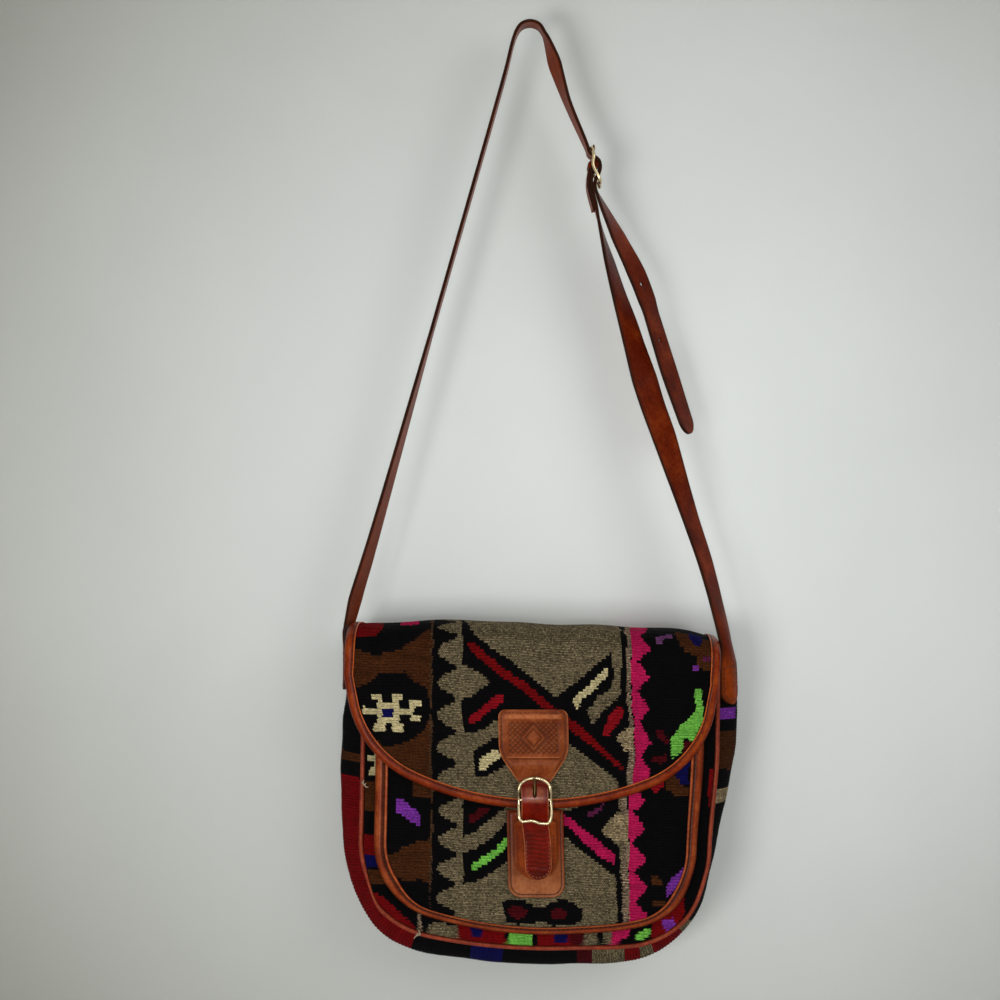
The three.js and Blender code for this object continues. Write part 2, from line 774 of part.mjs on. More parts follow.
// Width of the tab at a height above the bar
function tabWidth(z) {
  const straightEnd = TAB_LENGTH - TAB_STRAIGHT;
  const neck = CLOSURE_REACH + WIRE_RADIUS;
  if (z > straightEnd) {
    const fromTop = TAB_LENGTH - z;
    return TAB_WIDTH - 2 * TAB_CORNER * (1 - roundedShare(fromTop, TAB_CORNER));
  }
  const taper = THREE.MathUtils.smoothstep(z, neck, straightEnd);
  return THREE.MathUtils.lerp(CLOSURE_STRAP_WIDTH, TAB_WIDTH, taper);
}

function flapTab() {
  const onFlap = frontOf(flapFace - GAP - CLOSURE_LEATHER / 2);
  const onChape = chapeFlat + CHAPE_LEATHER + GAP + CLOSURE_LEATHER / 2;
  const tabFoot = [CLOSURE_REACH + FOOT_RUN, onFlap];
  const tailTop = [-CLOSURE_REACH - FOOT_RUN, onChape];
  const tailEnd = [-TAIL_LENGTH, onChape];
  const route = [
    [TAB_LENGTH, onFlap],
    [TAB_LENGTH - TAB_STRAIGHT, onFlap],
    tabFoot,
    ...closureThread,
    tailTop,
    tailEnd,
  ];
  const ribTop = -CLOSURE_REACH - RIB_MARGIN;
  const ribBottom = -TAIL_LENGTH + RIB_MARGIN;
  const tip = CLOSURE_STRAP_WIDTH / 2;
  const distances = (length, distanceTo) => {
    const wide = stops(length, TAB_SPACING, TAB_CORNER, tip);
    const bent = denser(wide, distanceTo(tabFoot), distanceTo(tailTop));
    return denser(bent, distanceTo(tailTop), length - tip, RIB_PITCH / 2);
  };
  const strap = closureBand(route, distances, ({ point, distance, length }) => {
    const z = point.z;
    const ribbed = z < ribTop && z > ribBottom;
    const wave = (1 + Math.cos(((z - ribTop) / RIB_PITCH) * 2 * Math.PI + Math.PI)) / 2;
    return {
      width: tabWidth(z) * roundedShare(length - distance, tip),
      thickness: CLOSURE_LEATHER,
      rise: ribbed ? RIB_HEIGHT * wave : 0,
    };
  });
  return cut(strap, prongSlot(CLOSURE_REACH));
}

function closureChape() {
  const behindFlapEdge = frontOf(flapMiddle - bindingHalf) + GAP + CHAPE_LEATHER;
  const behindFoot = closureFoot - CLOSURE_LEATHER / 2 - GAP - CHAPE_LEATHER;
  const flat = [-CLOSURE_REACH - FOOT_RUN, chapeFlat];
  const route = [
    ...CHAPE_FALL.map(([z, share]) => [
      -z * CLOSURE_REACH,
      THREE.MathUtils.lerp(behindFlapEdge, behindFoot, share),
    ]),
    flat,
    [-CHAPE_LENGTH, chapeFlat],
  ];
  const tip = CHAPE_WIDTH / 2;
  const distances = (length, distanceTo) =>
    denser(stops(length, TAB_SPACING, 0, tip), 0, distanceTo(flat));
  const strip = closureBand(route, distances, ({ point, distance, length }) => {
    const flare = THREE.MathUtils.smoothstep(-point.z, CHAPE_FLARE, CLOSURE_REACH + WIRE_RADIUS);
    const width = THREE.MathUtils.lerp(CHAPE_NECK_WIDTH, CHAPE_WIDTH, flare);
    return { width: width * roundedShare(length - distance, tip), thickness: 2 * CHAPE_LEATHER };
  });
  const loop = ringRoundBar(BAR_RADIUS + BAR_PLAY, chapeRing, CHAPE_NECK_WIDTH);
  return cut(joined(strip, loop), barBore(CHAPE_NECK_WIDTH), eyeSlot(chapeRing));
}

function closurePatch() {
  const half = PATCH_WIDTH / 2;
  const top = CLOSURE_DROP - FLAP_DROP - GAP - BINDING_LEATHER / 2;
  const shape = new THREE.Shape();
  shape.moveTo(-half, top);
  shape.lineTo(-half, -PATCH_LENGTH + PATCH_CORNER);
  shape.absarc(-half + PATCH_CORNER, -PATCH_LENGTH + PATCH_CORNER, PATCH_CORNER, Math.PI, 1.5 * Math.PI);
  shape.absarc(half - PATCH_CORNER, -PATCH_LENGTH + PATCH_CORNER, PATCH_CORNER, 1.5 * Math.PI, 2 * Math.PI);
  shape.lineTo(half, top);
  shape.closePath();
  const plate = new THREE.ExtrudeGeometry(shape, {
    depth: PATCH_LEATHER,
    bevelEnabled: false,
    curveSegments: CORNER_STEPS,
  });
  plate.rotateX(Math.PI / 2);
  plate.translate(0, pocketFace - GAP - closureBarY, 0);
  return joined(plate);
}

add('flap_tab', flapTab(), TAB_LEATHER, closure);
add('closure_patch', closurePatch(), TAB_LEATHER, closure);
add('closure_chape', closureChape(), LEATHER, closure);
add('closure_buckle_frame', buckleFrame(CLOSURE_STRAP_WIDTH, CLOSURE_REACH), BRASS, closure);
add('closure_buckle_prong', buckleProng(CLOSURE_REACH), BRASS, closure);

// Shoulder strap: its middle line lies in the plane y = 0, and a turn shows its inner side

const strapBuckle = new THREE.Group();
strapBuckle.position.set(STRAP_BUCKLE_X, 0, -STRAP_BUCKLE_DROP);
strapBuckle.rotation.y = -STRAP_BUCKLE_LEAN;
group.add(strapBuckle);
const strapBuckleFront = new THREE.Group();
strapBuckleFront.rotation.z = Math.PI / 2;
strapBuckle.add(strapBuckleFront);

// A point of the strap buckle's own frame, and a route through it, in the hanging frame
function atStrapBuckle([z, front]) {
  const cos = Math.cos(STRAP_BUCKLE_LEAN);
  const sin = Math.sin(STRAP_BUCKLE_LEAN);
  return [STRAP_BUCKLE_X - z * sin + front * cos, -STRAP_BUCKLE_DROP + z * cos + front * sin];
}

const strapPlace = ([x, z]) => new THREE.Vector3(x, 0, z);
const toBack = new THREE.Vector3(0, 1, 0);

// Stations of a strap with the directions across it and out of its outer face
function strapStations(route, distances) {
  return alongRoute(route, strapPlace, distances).map((station) => {
    const turn = THREE.MathUtils.degToRad(station.value(2));
    const inner = new THREE.Vector3(station.tangent.z, 0, -station.tangent.x);
    const across = toBack.clone().multiplyScalar(Math.cos(turn)).addScaledVector(inner, Math.sin(turn));
    const out = inner.clone().multiplyScalar(-Math.cos(turn)).addScaledVector(toBack, Math.sin(turn));
    return { ...station, across, out, thickness: STRAP_LEATHER };
  });
}

// Where a strap is sewn on: tip and upper end of the seam, then a point beside the fold
const sewnTip = -MOUTH_DROP - SEWN_LENGTH;

function sewnEnd(side) {
  const seat = (z) => BODY_HALF_WIDTH + gussetBulge(z) + GAP + STRAP_LEATHER / 2;
  const hung = (x, z) => {
    const point = hang(new THREE.Vector3(side * x, 0, z));
    return [point.x, point.z, 0];
  };
  const middle = sewnTip + SEWN_LENGTH / 2;
  const fold = -FOLD_RISE / 2;
  return [
    hung(seat(sewnTip), sewnTip),
    hung(seat(middle), middle),
    hung(seat(-MOUTH_DROP), -MOUTH_DROP),
    hung(seat(fold) - STRAP_LEATHER, fold),
  ];
}

// The sewn end follows the bow of the gusset; the cup fades out above it
function cupNear(distance) {
  const fade = 1 - THREE.MathUtils.smoothstep(distance, SEWN_LENGTH, 3 * SEWN_LENGTH);
  return (fade * gussetBulge(sewnTip + distance)) / gussetReach ** 2;
}

function crownPoint(degrees) {
  const radius = CROWN_RADIUS + STRAP_LEATHER / 2;
  const a = THREE.MathUtils.degToRad(degrees);
  return [radius * Math.cos(a), radius * Math.sin(a) - CROWN_RADIUS, 0];
}

function between([x0, z0], [x1, z1], share, turn, bow = 0) {
  return [THREE.MathUtils.lerp(x0, x1, share) + bow, THREE.MathUtils.lerp(z0, z1, share), turn];
}

const strapThread = threadedRoute(STRAP_LEATHER, STRAP_LEATHER, STRAP_REACH);
const strapFoot = strapThread.at(-1)[1];
const strapTip = STRAP_WIDTH / 2;

function longRoute() {
  const left = sewnEnd(-1);
  const leftCrown = crownPoint(165);
  const rightCrown = crownPoint(15);
  const threaded = strapThread.map((p) => [...atStrapBuckle(p), 0]);
  const tail = TAIL_ROUTE.map(([right, down, turn]) => [
    STRAP_BUCKLE_X + right,
    -STRAP_BUCKLE_DROP - down,
    turn,
  ]);
  const route = [
    ...left,
    between(left.at(-1), leftCrown, 0.1, 16),
    between(left.at(-1), leftCrown, 0.5, 6),
    between(left.at(-1), leftCrown, 0.93, 8),
    leftCrown,
    crownPoint(125),
    crownPoint(90),
    crownPoint(55),
    rightCrown,
    between(rightCrown, threaded[0], 0.25, 26, RIGHT_LEG_BOW),
    between(rightCrown, threaded[0], 0.6, 20, RIGHT_LEG_BOW / 3),
    ...threaded,
    ...tail,
  ];
  return { route, bends: [[leftCrown, rightCrown], [threaded[0], threaded.at(-1)]] };
}

// A round hole through the strap at a station
function strapHole({ point, out }) {
  const depth = 3 * STRAP_LEATHER;
  const hole = new THREE.CylinderGeometry(STRAP_HOLE_RADIUS, STRAP_HOLE_RADIUS, depth, HOLE_SIDES);
  hole.applyQuaternion(new THREE.Quaternion().setFromUnitVectors(toBack, out));
  hole.translate(point.x, point.y, point.z);
  return hole;
}

function strapLong() {
  const { route, bends } = longRoute();
  const distances = (length, distanceTo) =>
    bends.reduce(
      (all, [from, to]) => denser(all, distanceTo(from), distanceTo(to)),
      stops(length, BAND_SPACING, strapTip, strapTip),
    );
  const strap = band(
    strapStations(route, distances).map((station) => ({
      ...station,
      width:
        STRAP_WIDTH *
        roundedShare(station.distance, strapTip) *
        roundedShare(station.length - station.distance, strapTip),
      cup: cupNear(station.distance),
    })),
  );
  const holes = strapStations(route, (length) => TAIL_HOLES.map((fromTip) => length - fromTip));
  const slot = prongSlot(STRAP_REACH).applyMatrix4(strapBuckleFront.matrixWorld);
  return cut(strap, slot, ...holes.map(strapHole));
}

function strapShort() {
  const ring = ringRadius(STRAP_LEATHER);
  const mainFront = strapFoot - STRAP_LEATHER - GAP;
  const stubFront = mainFront - STRAP_LEATHER + SEAM_OVERLAP;
  const right = sewnEnd(1).toReversed();
  const below = atStrapBuckle([-2 * STRAP_REACH, mainFront]);
  const foldedEnd = [...below, 0];
  const main = [
    [...atStrapBuckle([-0.1 * STRAP_REACH, -0.3 * ring]), 0],
    [...atStrapBuckle([-0.5 * STRAP_REACH, 0.6 * mainFront]), 0],
    [...atStrapBuckle([-STRAP_REACH, mainFront]), 0],
    foldedEnd,
    between(below, right[0], 0.2, 14),
    between(below, right[0], 0.36, 40),
    between(below, right[0], 0.47, 66),
    between(below, right[0], 0.6, 42),
    between(below, right[0], 0.85, 14),
    ...right,
  ];
  const distances = (length, distanceTo) =>
    denser(stops(length, BAND_SPACING, 0, strapTip), 0, distanceTo(foldedEnd));
  const strap = band(
    strapStations(main, distances).map((station) => ({
      ...station,
      width: STRAP_WIDTH * roundedShare(station.length - station.distance, strapTip),
      cup: cupNear(station.length - station.distance),
    })),
  );
  const stubRoute = [
    [...atStrapBuckle([-0.1 * STRAP_REACH, -0.65 * ring]), 0],
    [...atStrapBuckle([-0.5 * STRAP_REACH, 0.6 * mainFront - STRAP_LEATHER + SEAM_OVERLAP]), 0],
    [...atStrapBuckle([-STRAP_REACH, stubFront]), 0],
    [...atStrapBuckle([-STUB_LENGTH, stubFront]), 0],
  ];
  const stubStations = strapStations(stubRoute, (length) => stops(length, 2 * BEND_SPACING, 0, 0));
  const stub = band(stubStations.map((station) => ({ ...station, width: STRAP_WIDTH })));
  const placed = strapBuckleFront.matrixWorld;
  const loop = ringRoundBar(BAR_RADIUS + BAR_PLAY, ring, STRAP_WIDTH).applyMatrix4(placed);
  const bore = barBore(STRAP_WIDTH).applyMatrix4(placed);
  return cut(joined(strap, stub, loop), bore, eyeSlot(ring).applyMatrix4(placed));
}

strapBuckle.updateMatrixWorld(true);
add('strap_long', strapLong(), STRAP_BROWN);
add('strap_short', strapShort(), STRAP_BROWN);
add('strap_buckle_frame', buckleFrame(STRAP_WIDTH, STRAP_REACH), BRASS, strapBuckleFront);
add('strap_buckle_prong', buckleProng(STRAP_REACH), BRASS, strapBuckleFront);

export default group;
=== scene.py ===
"""A flat-woven wool shoulder bag with leather trim and brass buckles, dressed on its CAD frame.
Lengths are millimetres until a piece is made; its mesh is in metres."""
import math
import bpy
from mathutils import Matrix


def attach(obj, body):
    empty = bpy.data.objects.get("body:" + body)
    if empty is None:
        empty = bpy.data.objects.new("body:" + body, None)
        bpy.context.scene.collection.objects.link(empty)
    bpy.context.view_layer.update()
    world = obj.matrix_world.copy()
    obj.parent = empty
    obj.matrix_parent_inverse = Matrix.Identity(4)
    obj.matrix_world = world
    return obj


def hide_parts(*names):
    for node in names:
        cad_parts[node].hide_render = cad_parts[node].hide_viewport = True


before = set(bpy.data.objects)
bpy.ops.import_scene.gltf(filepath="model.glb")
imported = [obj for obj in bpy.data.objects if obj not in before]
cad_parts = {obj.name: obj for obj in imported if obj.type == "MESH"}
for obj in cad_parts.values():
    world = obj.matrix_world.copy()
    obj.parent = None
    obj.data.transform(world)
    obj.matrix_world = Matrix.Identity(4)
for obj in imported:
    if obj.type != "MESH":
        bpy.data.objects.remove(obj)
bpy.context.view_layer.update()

from types import SimpleNamespace

import bpy
import numpy as np
from mathutils import Vector

rng = np.random.default_rng(20)

# Values of the CAD part that the pieces follow
CLOTH, GAP, BINDING_LEATHER, PIPING_RADIUS = 3.0, 0.3, 1.0, 1.6
BODY_HALF, BODY_DEPTH, BODY_DROP = 119.0, 56.0, 215.0
FOLD_RISE, FOLD_DROOP, MOUTH_DROP = 20.0, 4.0, 24.0
GUSSET_SAG = 3.0
POCKET_PUFF, POCKET_EASE = 5.7, 28.0
FLAP_EASE, FLAP_EASE_POWER = 7.0, 8
FOLD_BELOW_CROWN, MIDDLE_X, BODY_SWAY = 405.0, 4.2, 4.0
HANG = math.tan(math.radians(1.8))
WIRE, BAR, BAR_PLAY, FRAME_SET = 1.1, 1.1, 0.25, 2.0
PRONG, EYE_WALL, EYE_WIDTH = 0.8, 0.9, 2.4
CLOSURE_WIDTH, CLOSURE_LEATHER, CLOSURE_REACH = 17.6, 1.8, 14.5
STRAP_WIDTH, STRAP_LEATHER, STRAP_REACH = 19.0, 2.2, 13.0
SEWN_LENGTH = 27.0

# Cloth, as woven
RIB = 1.95  # pitch of the weft ribs
WARP = 1.35  # spacing of the columns
RELIEF = 0.5  # valley to crest of a rib
BACK_STEPS = (6, 4)  # the hidden face has a point at every sixth row and fourth column

# Yarn colours as seen in plain light (sRGB), and how much the single stitches differ
YARNS = {
    "grey": ((104, 92, 69), 0.85),
    "speckle": ((122, 103, 84), 1.0),
    "line": ((66, 46, 30), 0.7),
    "tooth": ((140, 122, 92), 0.8),
    "brown": ((63, 33, 14), 0.35),
    "black": ((8, 6, 8), 0.2),
    "pink": ((170, 22, 74), 0.15),
    "magenta": ((168, 20, 72), 0.15),
    "red": ((104, 7, 10), 0.15),
    "scarlet": ((128, 12, 22), 0.2),
    "maroon": ((66, 8, 14), 0.2),
    "green": ((104, 172, 66), 0.3),
    "purple": ((108, 44, 128), 0.3),
    "violet": ((112, 46, 142), 0.35),
    "plum": ((84, 28, 60), 0.3),
    "mauve": ((106, 62, 104), 0.3),
    "cream": ((186, 172, 128), 0.35),
    "navy": ((13, 12, 66), 0.15),
}

# Motifs on the cloth: a yarn and the corners of its patch, each with x from the middle and the distance
# down from the crest of the fold
FLAP_MOTIFS = [
    ("red", [-132, -12, -104, -10, -103, 22, -106, 31, -130, 30]),
    ("black", [-132, 30, -106, 31, -103, 22, -104, -30, -71, -30, -71, 22, -80, 33, -90.5, 41, -107, 45,
               -118, 41.5, -132, 40.5]),
    ("magenta", [-92, -10, -79, -10, -79, 12, -84, 15, -91, 13]),
    ("black", [-111, 63, -105, 57, -87, 55.5, -82.5, 60.5, -72, 66.5, -70.5, 84, -75, 94, -84.5, 101,
               -99, 106.5, -120, 89, -126.5, 69.5]),
    *[("cream", [a, c, b, c, b, d, a, d]) for a, b, c, d in [
        (-109.5, -101.5, 69.5, 74.2), (-105.5, -101.5, 74, 77), (-96, -88.5, 69.5, 74.2),
        (-96.2, -92, 74, 77), (-105.5, -91, 75.7, 79.7), (-113.5, -101.8, 79.4, 84.2),
        (-94.7, -81.6, 79.4, 84.2), (-84, -77, 73.2, 78.3), (-84, -80.5, 78, 80.5),
        (-83.5, -76.3, 83.8, 88.2), (-104.7, -90.4, 84.2, 88.9), (-107.4, -99.5, 90.4, 95),
        (-104, -100, 88.5, 91), (-95.1, -87.5, 90, 94.6), (-95.1, -91, 88.5, 91),
        (-115.5, -112.5, 77.5, 84.2),
    ]],
    ("navy", [-102.5, 79.5, -95, 79, -95, 85, -102.5, 85]),
    ("black", [-50.5, -8, -42.5, 27, -30.5, 38.5, -19, 44.5, -8, 53.5, 1.5, 60.5, 11.5, 68.5, 15.5, 66.5,
               25.5, 58, 42.5, 43.5, 48.5, 39.5, 50, 41, 49.5, 60.5, 47.5, 62.5, 40, 67.5, 33.5, 77,
               36.5, 86.5, 43.5, 77, 55.5, 66, 61, 66, 61.5, 84.5, 58, 88.5, 52.5, 95, 58, 101.5,
               60.5, 104.5, 60, 129.5, 55, 129.5, 54.5, 123, 43, 115, 27.5, 103.5, 2, 86.5, -9.5, 80,
               -26, 85.5, -36.5, 92, -41, 94, -46, 94, -48.5, 89.5, -49, 71, -44, 70, -30.5, 59, -44, 50,
               -49.5, 49.5]),
    ("red", [-46.5, 34.5, -43, 34.5, -37, 39, -21.5, 51.5, -2.5, 64, 10.5, 75, 27.5, 86, 43, 101, 55, 111,
             57.5, 114.5, 54, 114, 37, 101, 22.5, 90.5, 5, 77, -9.5, 65.5, -25.5, 55, -41.5, 42,
             -45.5, 38.5]),
    ("scarlet", [-44.5, 83.5, -41.5, 79.5, -37.5, 78.5, -31, 71, -25.5, 68, -22, 67.5, -22, 72.5, -28, 77.5,
                 -34, 81.5, -39.5, 86.5, -43, 88, -44.5, 87]),
    ("cream", [23.5, 70, 26.5, 66, 33, 61, 39, 54.5, 45.5, 48, 47, 49.5, 46.5, 53.5, 41, 59.5, 35.5, 65,
               29.5, 70, 26.5, 75.5, 24.5, 74]),
    ("scarlet", [43.5, 89.5, 46.5, 84, 49.5, 77.5, 54.5, 74, 57, 76.5, 57, 80.5, 53, 86, 49, 91, 46, 94.5,
                 44, 92.5]),
    ("black", [-41, 106, -38, 103.5, -32, 100, -26, 96.5, -20, 96.5, -20, 114.5, -28, 120.5, -33.5, 123,
               -40.5, 122]),
    ("cream", [-37, 112, -33, 108, -27.5, 105.5, -24, 106.5, -24, 110, -29, 114, -33.5, 118.5, -37, 119]),
    ("black", [56.5, -48.5, 60, -49, 58, 66, 55, 66]),
    ("speckle", [60, -49, 63.5, -49, 61.5, 63.5, 64, 85.5, 64.5, 103, 63.5, 136, 60, 136, 60.5, 103,
                 61, 84.5, 58.5, 63.5]),
    ("tooth", [63.5, 86.5, 58, 88.5, 52.5, 95, 57, 100.5, 58, 102.5, 63.5, 102]),
    ("pink", [63.5, -49, 75.5, -50, 74, 12.5, 68, 22.5, 75.5, 35.5, 65.5, 43.5, 69, 46, 74, 54.5, 65.5, 63.5,
              74.5, 74.5, 68, 83, 75.5, 96.5, 68.5, 105.5, 75.5, 115.5, 71.5, 129, 63.5, 136, 65, 101.5,
              64.5, 86.5, 62, 63.5]),
    ("mauve", [79.5, 23.5, 91, 17.5, 90, 25, 84.5, 26, 82, 30.5, 79.5, 30.5]),
    ("brown", [92, 13.5, 102, 16.5, 102.5, 27.5, 107, 32, 111, 19, 116, 18.5, 114.5, 49, 109.5, 49,
               105.5, 44.5, 105.5, 39.5, 99, 37.5, 93.5, 30.5]),
    ("navy", [100.5, 14.5, 110.5, 13.5, 109.5, 28, 106.5, 32, 102.5, 28.5]),
    ("purple", [103, 45, 107, 45, 107, 48.5, 103, 48.5]),
    ("plum", [110, 39, 114.5, 39, 114.5, 42.5, 110, 43]),
    ("green", [103.5, 61.5, 109.5, 61, 109, 65, 110, 74, 110.5, 81, 108, 86, 103.5, 95, 101, 95, 97.5, 92.5,
               96.5, 96, 96, 101.5, 90, 107.5, 88.5, 105, 89, 93.5, 94.5, 85.5, 102, 78, 104.5, 75,
               104.5, 68.5]),
    ("maroon", [79, 87, 82.5, 88, 87, 94.5, 86.5, 98, 81, 94, 78, 90]),
    ("maroon", [77, 105.5, 86, 104, 86.5, 107.5, 82, 110.5, 76, 108.5]),
    ("maroon", [97, 96.5, 102.5, 96.5, 98.5, 102, 96, 103]),
]
POCKET_MOTIFS = [
    ("black", [-116.5, 93.5, -69.5, 92, -68.5, 145, -77, 146.5, -87.5, 151, -94, 156.5, -102, 158,
               -115.5, 140]),
    ("brown", [-82, 99, -69.5, 98.5, -69, 116, -81.5, 116.5]),
    ("violet", [-93, 119.5, -89.5, 118, -76, 128.5, -76, 135.5, -78, 136, -92.5, 127]),
    ("black", [-101.5, 170, -89.5, 172, -81.5, 174.5, -76.5, 171.5, -69.5, 174, -66.5, 201, -87, 202]),
    ("black", [-48, 98, -18, 97, -17.5, 121, -23, 125, -35, 134.5, -42, 140, -47.5, 141.5]),
    ("maroon", [-43, 128, -39, 124.5, -35, 122.5, -29.5, 123, -32.5, 127, -41, 132.5, -43, 132]),
    ("black", [-47, 151.5, -41, 151, -28.5, 142, -17.5, 131.5, -14, 128.5, -13.5, 154.5, -19.5, 159.5,
               -31.5, 168, -38, 171, -46.5, 173]),
    ("green", [-41, 159.5, -38.5, 158, -34.5, 154, -28.5, 152, -23.5, 147, -19, 142, -17, 142, -17, 147.5,
               -22.5, 152.5, -27.5, 156.5, -33, 159.5, -39.5, 164.5, -41, 163.5]),
    ("black", [15, 121, 20.5, 124, 32, 118, 42.5, 108.5, 56, 108, 56, 122, 51, 127, 44, 136, 52, 143,
               56.5, 146.5, 57, 162, 54.5, 165, 49.5, 162.5, 33, 150, 20, 140, 15.5, 137]),
    ("magenta", [17.5, 124.5, 24, 127.5, 31, 133.5, 49, 147.5, 54, 152, 53.5, 157, 51, 157, 43.5, 153,
                 27, 137.5, 18, 130.5]),
    ("plum", [35, 123.5, 43, 119.5, 48, 115, 43.5, 122, 37.5, 127.5, 35.5, 127]),
    ("black", [54, 161, 57.5, 161, 60, 200.5, 56.5, 200.5]),
    ("speckle", [56, 95, 60.5, 94.5, 64.5, 200.5, 60, 200.5]),
    ("tooth", [61, 124, 53.5, 125, 44, 136, 49, 140, 52, 143, 61.5, 143.5]),
    ("pink", [61, 94.5, 67.5, 98.5, 64, 105, 73, 114.5, 64.5, 123, 68, 125.5, 73, 134, 64, 143.5, 75, 153.5,
              66.5, 162.5, 75.5, 172, 68, 181, 76, 189, 73, 200, 64.5, 200.5]),
    ("navy", [93, 93.5, 101, 93.5, 102, 104, 96.5, 104, 93, 100.5]),
    ("brown", [83.5, 96.5, 92.5, 97.5, 96.5, 104, 102, 105.5, 102, 111, 93, 111.5, 87.5, 107]),
    ("scarlet", [76, 104, 84.5, 100.5, 83.5, 106, 79, 109]),
    ("brown", [78, 164, 81.5, 164, 85.5, 167.5, 85, 169.5, 78.5, 169.5]),
    ("violet", [92, 164.5, 99.5, 158.5, 99.5, 166, 92, 174, 89, 177.5, 88, 169.5]),
    ("brown", [79.5, 179, 88.5, 179, 88.5, 183.5, 79.5, 184]),
    ("black", [-20, 186.5, -16, 183, -6.5, 183, -3, 185, 1.5, 186.5, 9, 186.5, 13, 182.5, 22, 182, 26.5, 184,
               32, 187, 33.5, 191.5, 32.5, 197, 23.5, 199.5, 13.5, 200, 9, 197.5, 3.5, 196.5, -0.5, 199.5,
               -10, 200, -17.5, 198]),
    ("maroon", [-16.5, 190, -12.5, 187.5, -7, 187.5, -3.5, 190, -5, 195, -10, 196.5, -15.5, 193.5]),
    ("maroon", [11.5, 190.5, 16, 187, 19, 187.5, 23.5, 190.5, 21.5, 195, 16, 195.5, 12, 193]),
]
FRONT_MOTIFS = [
    ("cream", [-112.5, 91, -105, 90.5, -105, 95, -112.5, 95]),
    ("cream", [-108, 94.5, -105, 94.5, -104.5, 101, -108, 101.5]),
    ("cream", [-111, 100.5, -105, 100, -105, 104.5, -111, 104.5]),
    ("brown", [-120, 111.5, -106, 111, -106, 129, -120, 129.5]),
    ("red", [-122.5, 145.5, -101.5, 145, -101, 157, -122.5, 157.5]),
    ("navy", [-122.5, 158.5, -99.5, 157.5, -99.5, 166.5, -122, 167]),
    ("brown", [-122, 167.5, -94, 167, -94, 177, -122, 177.5]),
    ("red", [-111, 181.5, -100.5, 185, -79.5, 203.5, -75, 210, -87, 217.5, -107.5, 201]),
    ("speckle", [-76, 190.5, -74, 190, -73, 213.5, -75, 213.5]),
    ("grey", [-69, 203.5, -64, 200.5, -49.5, 203, -49, 216, -70.5, 213.5]),
    ("red", [-49.5, 196, -42, 196, -41, 219, -49, 219.5]),
    ("red", [-42, 196, -30, 195.5, -29, 219, -41, 219]),
    ("navy", [-41.5, 199, -31, 199, -32.5, 209.5, -36, 211.5, -40, 210]),
    ("red", [-30, 195.5, -18, 195, -17, 219.5, -29, 220]),
    ("green", [-15, 201.5, 1, 201, 1.5, 221, -14.5, 221.5]),
    ("red", [4, 194.5, 15.5, 194, 16.5, 224, 5, 224.5]),
    ("red", [15.5, 194, 25.5, 193.5, 26.5, 223.5, 16.5, 224]),
    ("navy", [14.5, 203, 25, 203, 24.5, 211.5, 20, 213.5, 15.5, 212]),
    ("maroon", [25.5, 193.5, 34.5, 193.5, 35.5, 223.5, 26.5, 223.5]),
    ("grey", [34.5, 193.5, 43.5, 193, 44.5, 223, 35.5, 223.5]),
    ("black", [43.5, 190, 47, 189.5, 48.5, 223, 44.5, 223]),
    ("grey", [47, 189.5, 53, 189.5, 54, 223, 48.5, 223]),
    ("pink", [53, 193, 65.5, 192.5, 65, 204.5, 59.5, 207.5, 56.5, 211.5, 54, 219.5]),
    ("green", [69.5, 203.5, 74.5, 200, 78.5, 199, 80, 202, 75.5, 205, 72.5, 207.5, 70, 206.5]),
    ("red", [80, 194, 100.5, 176.5, 102, 188.5, 96.5, 197, 83.5, 206.5, 80.5, 204.5]),
    ("violet", [87, 193, 93.5, 192, 96.5, 197, 91.5, 201, 88, 199]),
    ("red", [115.5, 94.5, 124, 94, 125, 134, 116, 134]),
]

# Shells and pieces


def linear(rgb):
    c = np.asarray(rgb, float) / 255
    return np.where(c <= 0.04045, c / 12.92, ((c + 0.055) / 1.055) ** 2.4)


def smoothstep(v, low, high):
    t = np.clip((np.asarray(v, float) - low) / (high - low), 0, 1)
    return t * t * (3 - 2 * t)


def lerp(a, b, t):
    return a + (b - a) * t


def eased(v, stops, values, width=5.0):
    """A line through the stops with its corners rounded off."""
    v = np.asarray(v, float)
    parts = ((-1, 0.25), (0, 0.5), (1, 0.25))
    return sum(w * np.interp(v + d * width, stops, values) for d, w in parts)


def unit(v):
    return v / np.linalg.norm(v, axis=-1, keepdims=True)


def run_length(line):
    """Distance along a line at each of its points."""
    return np.concatenate([[0], np.cumsum(np.linalg.norm(np.diff(line, axis=0), axis=1))])


def sampled(distance, arc, values):
    """Values given along a line (rows of three), at other distances along it."""
    return np.stack([np.interp(distance, arc, values[:, k]) for k in range(3)], -1)


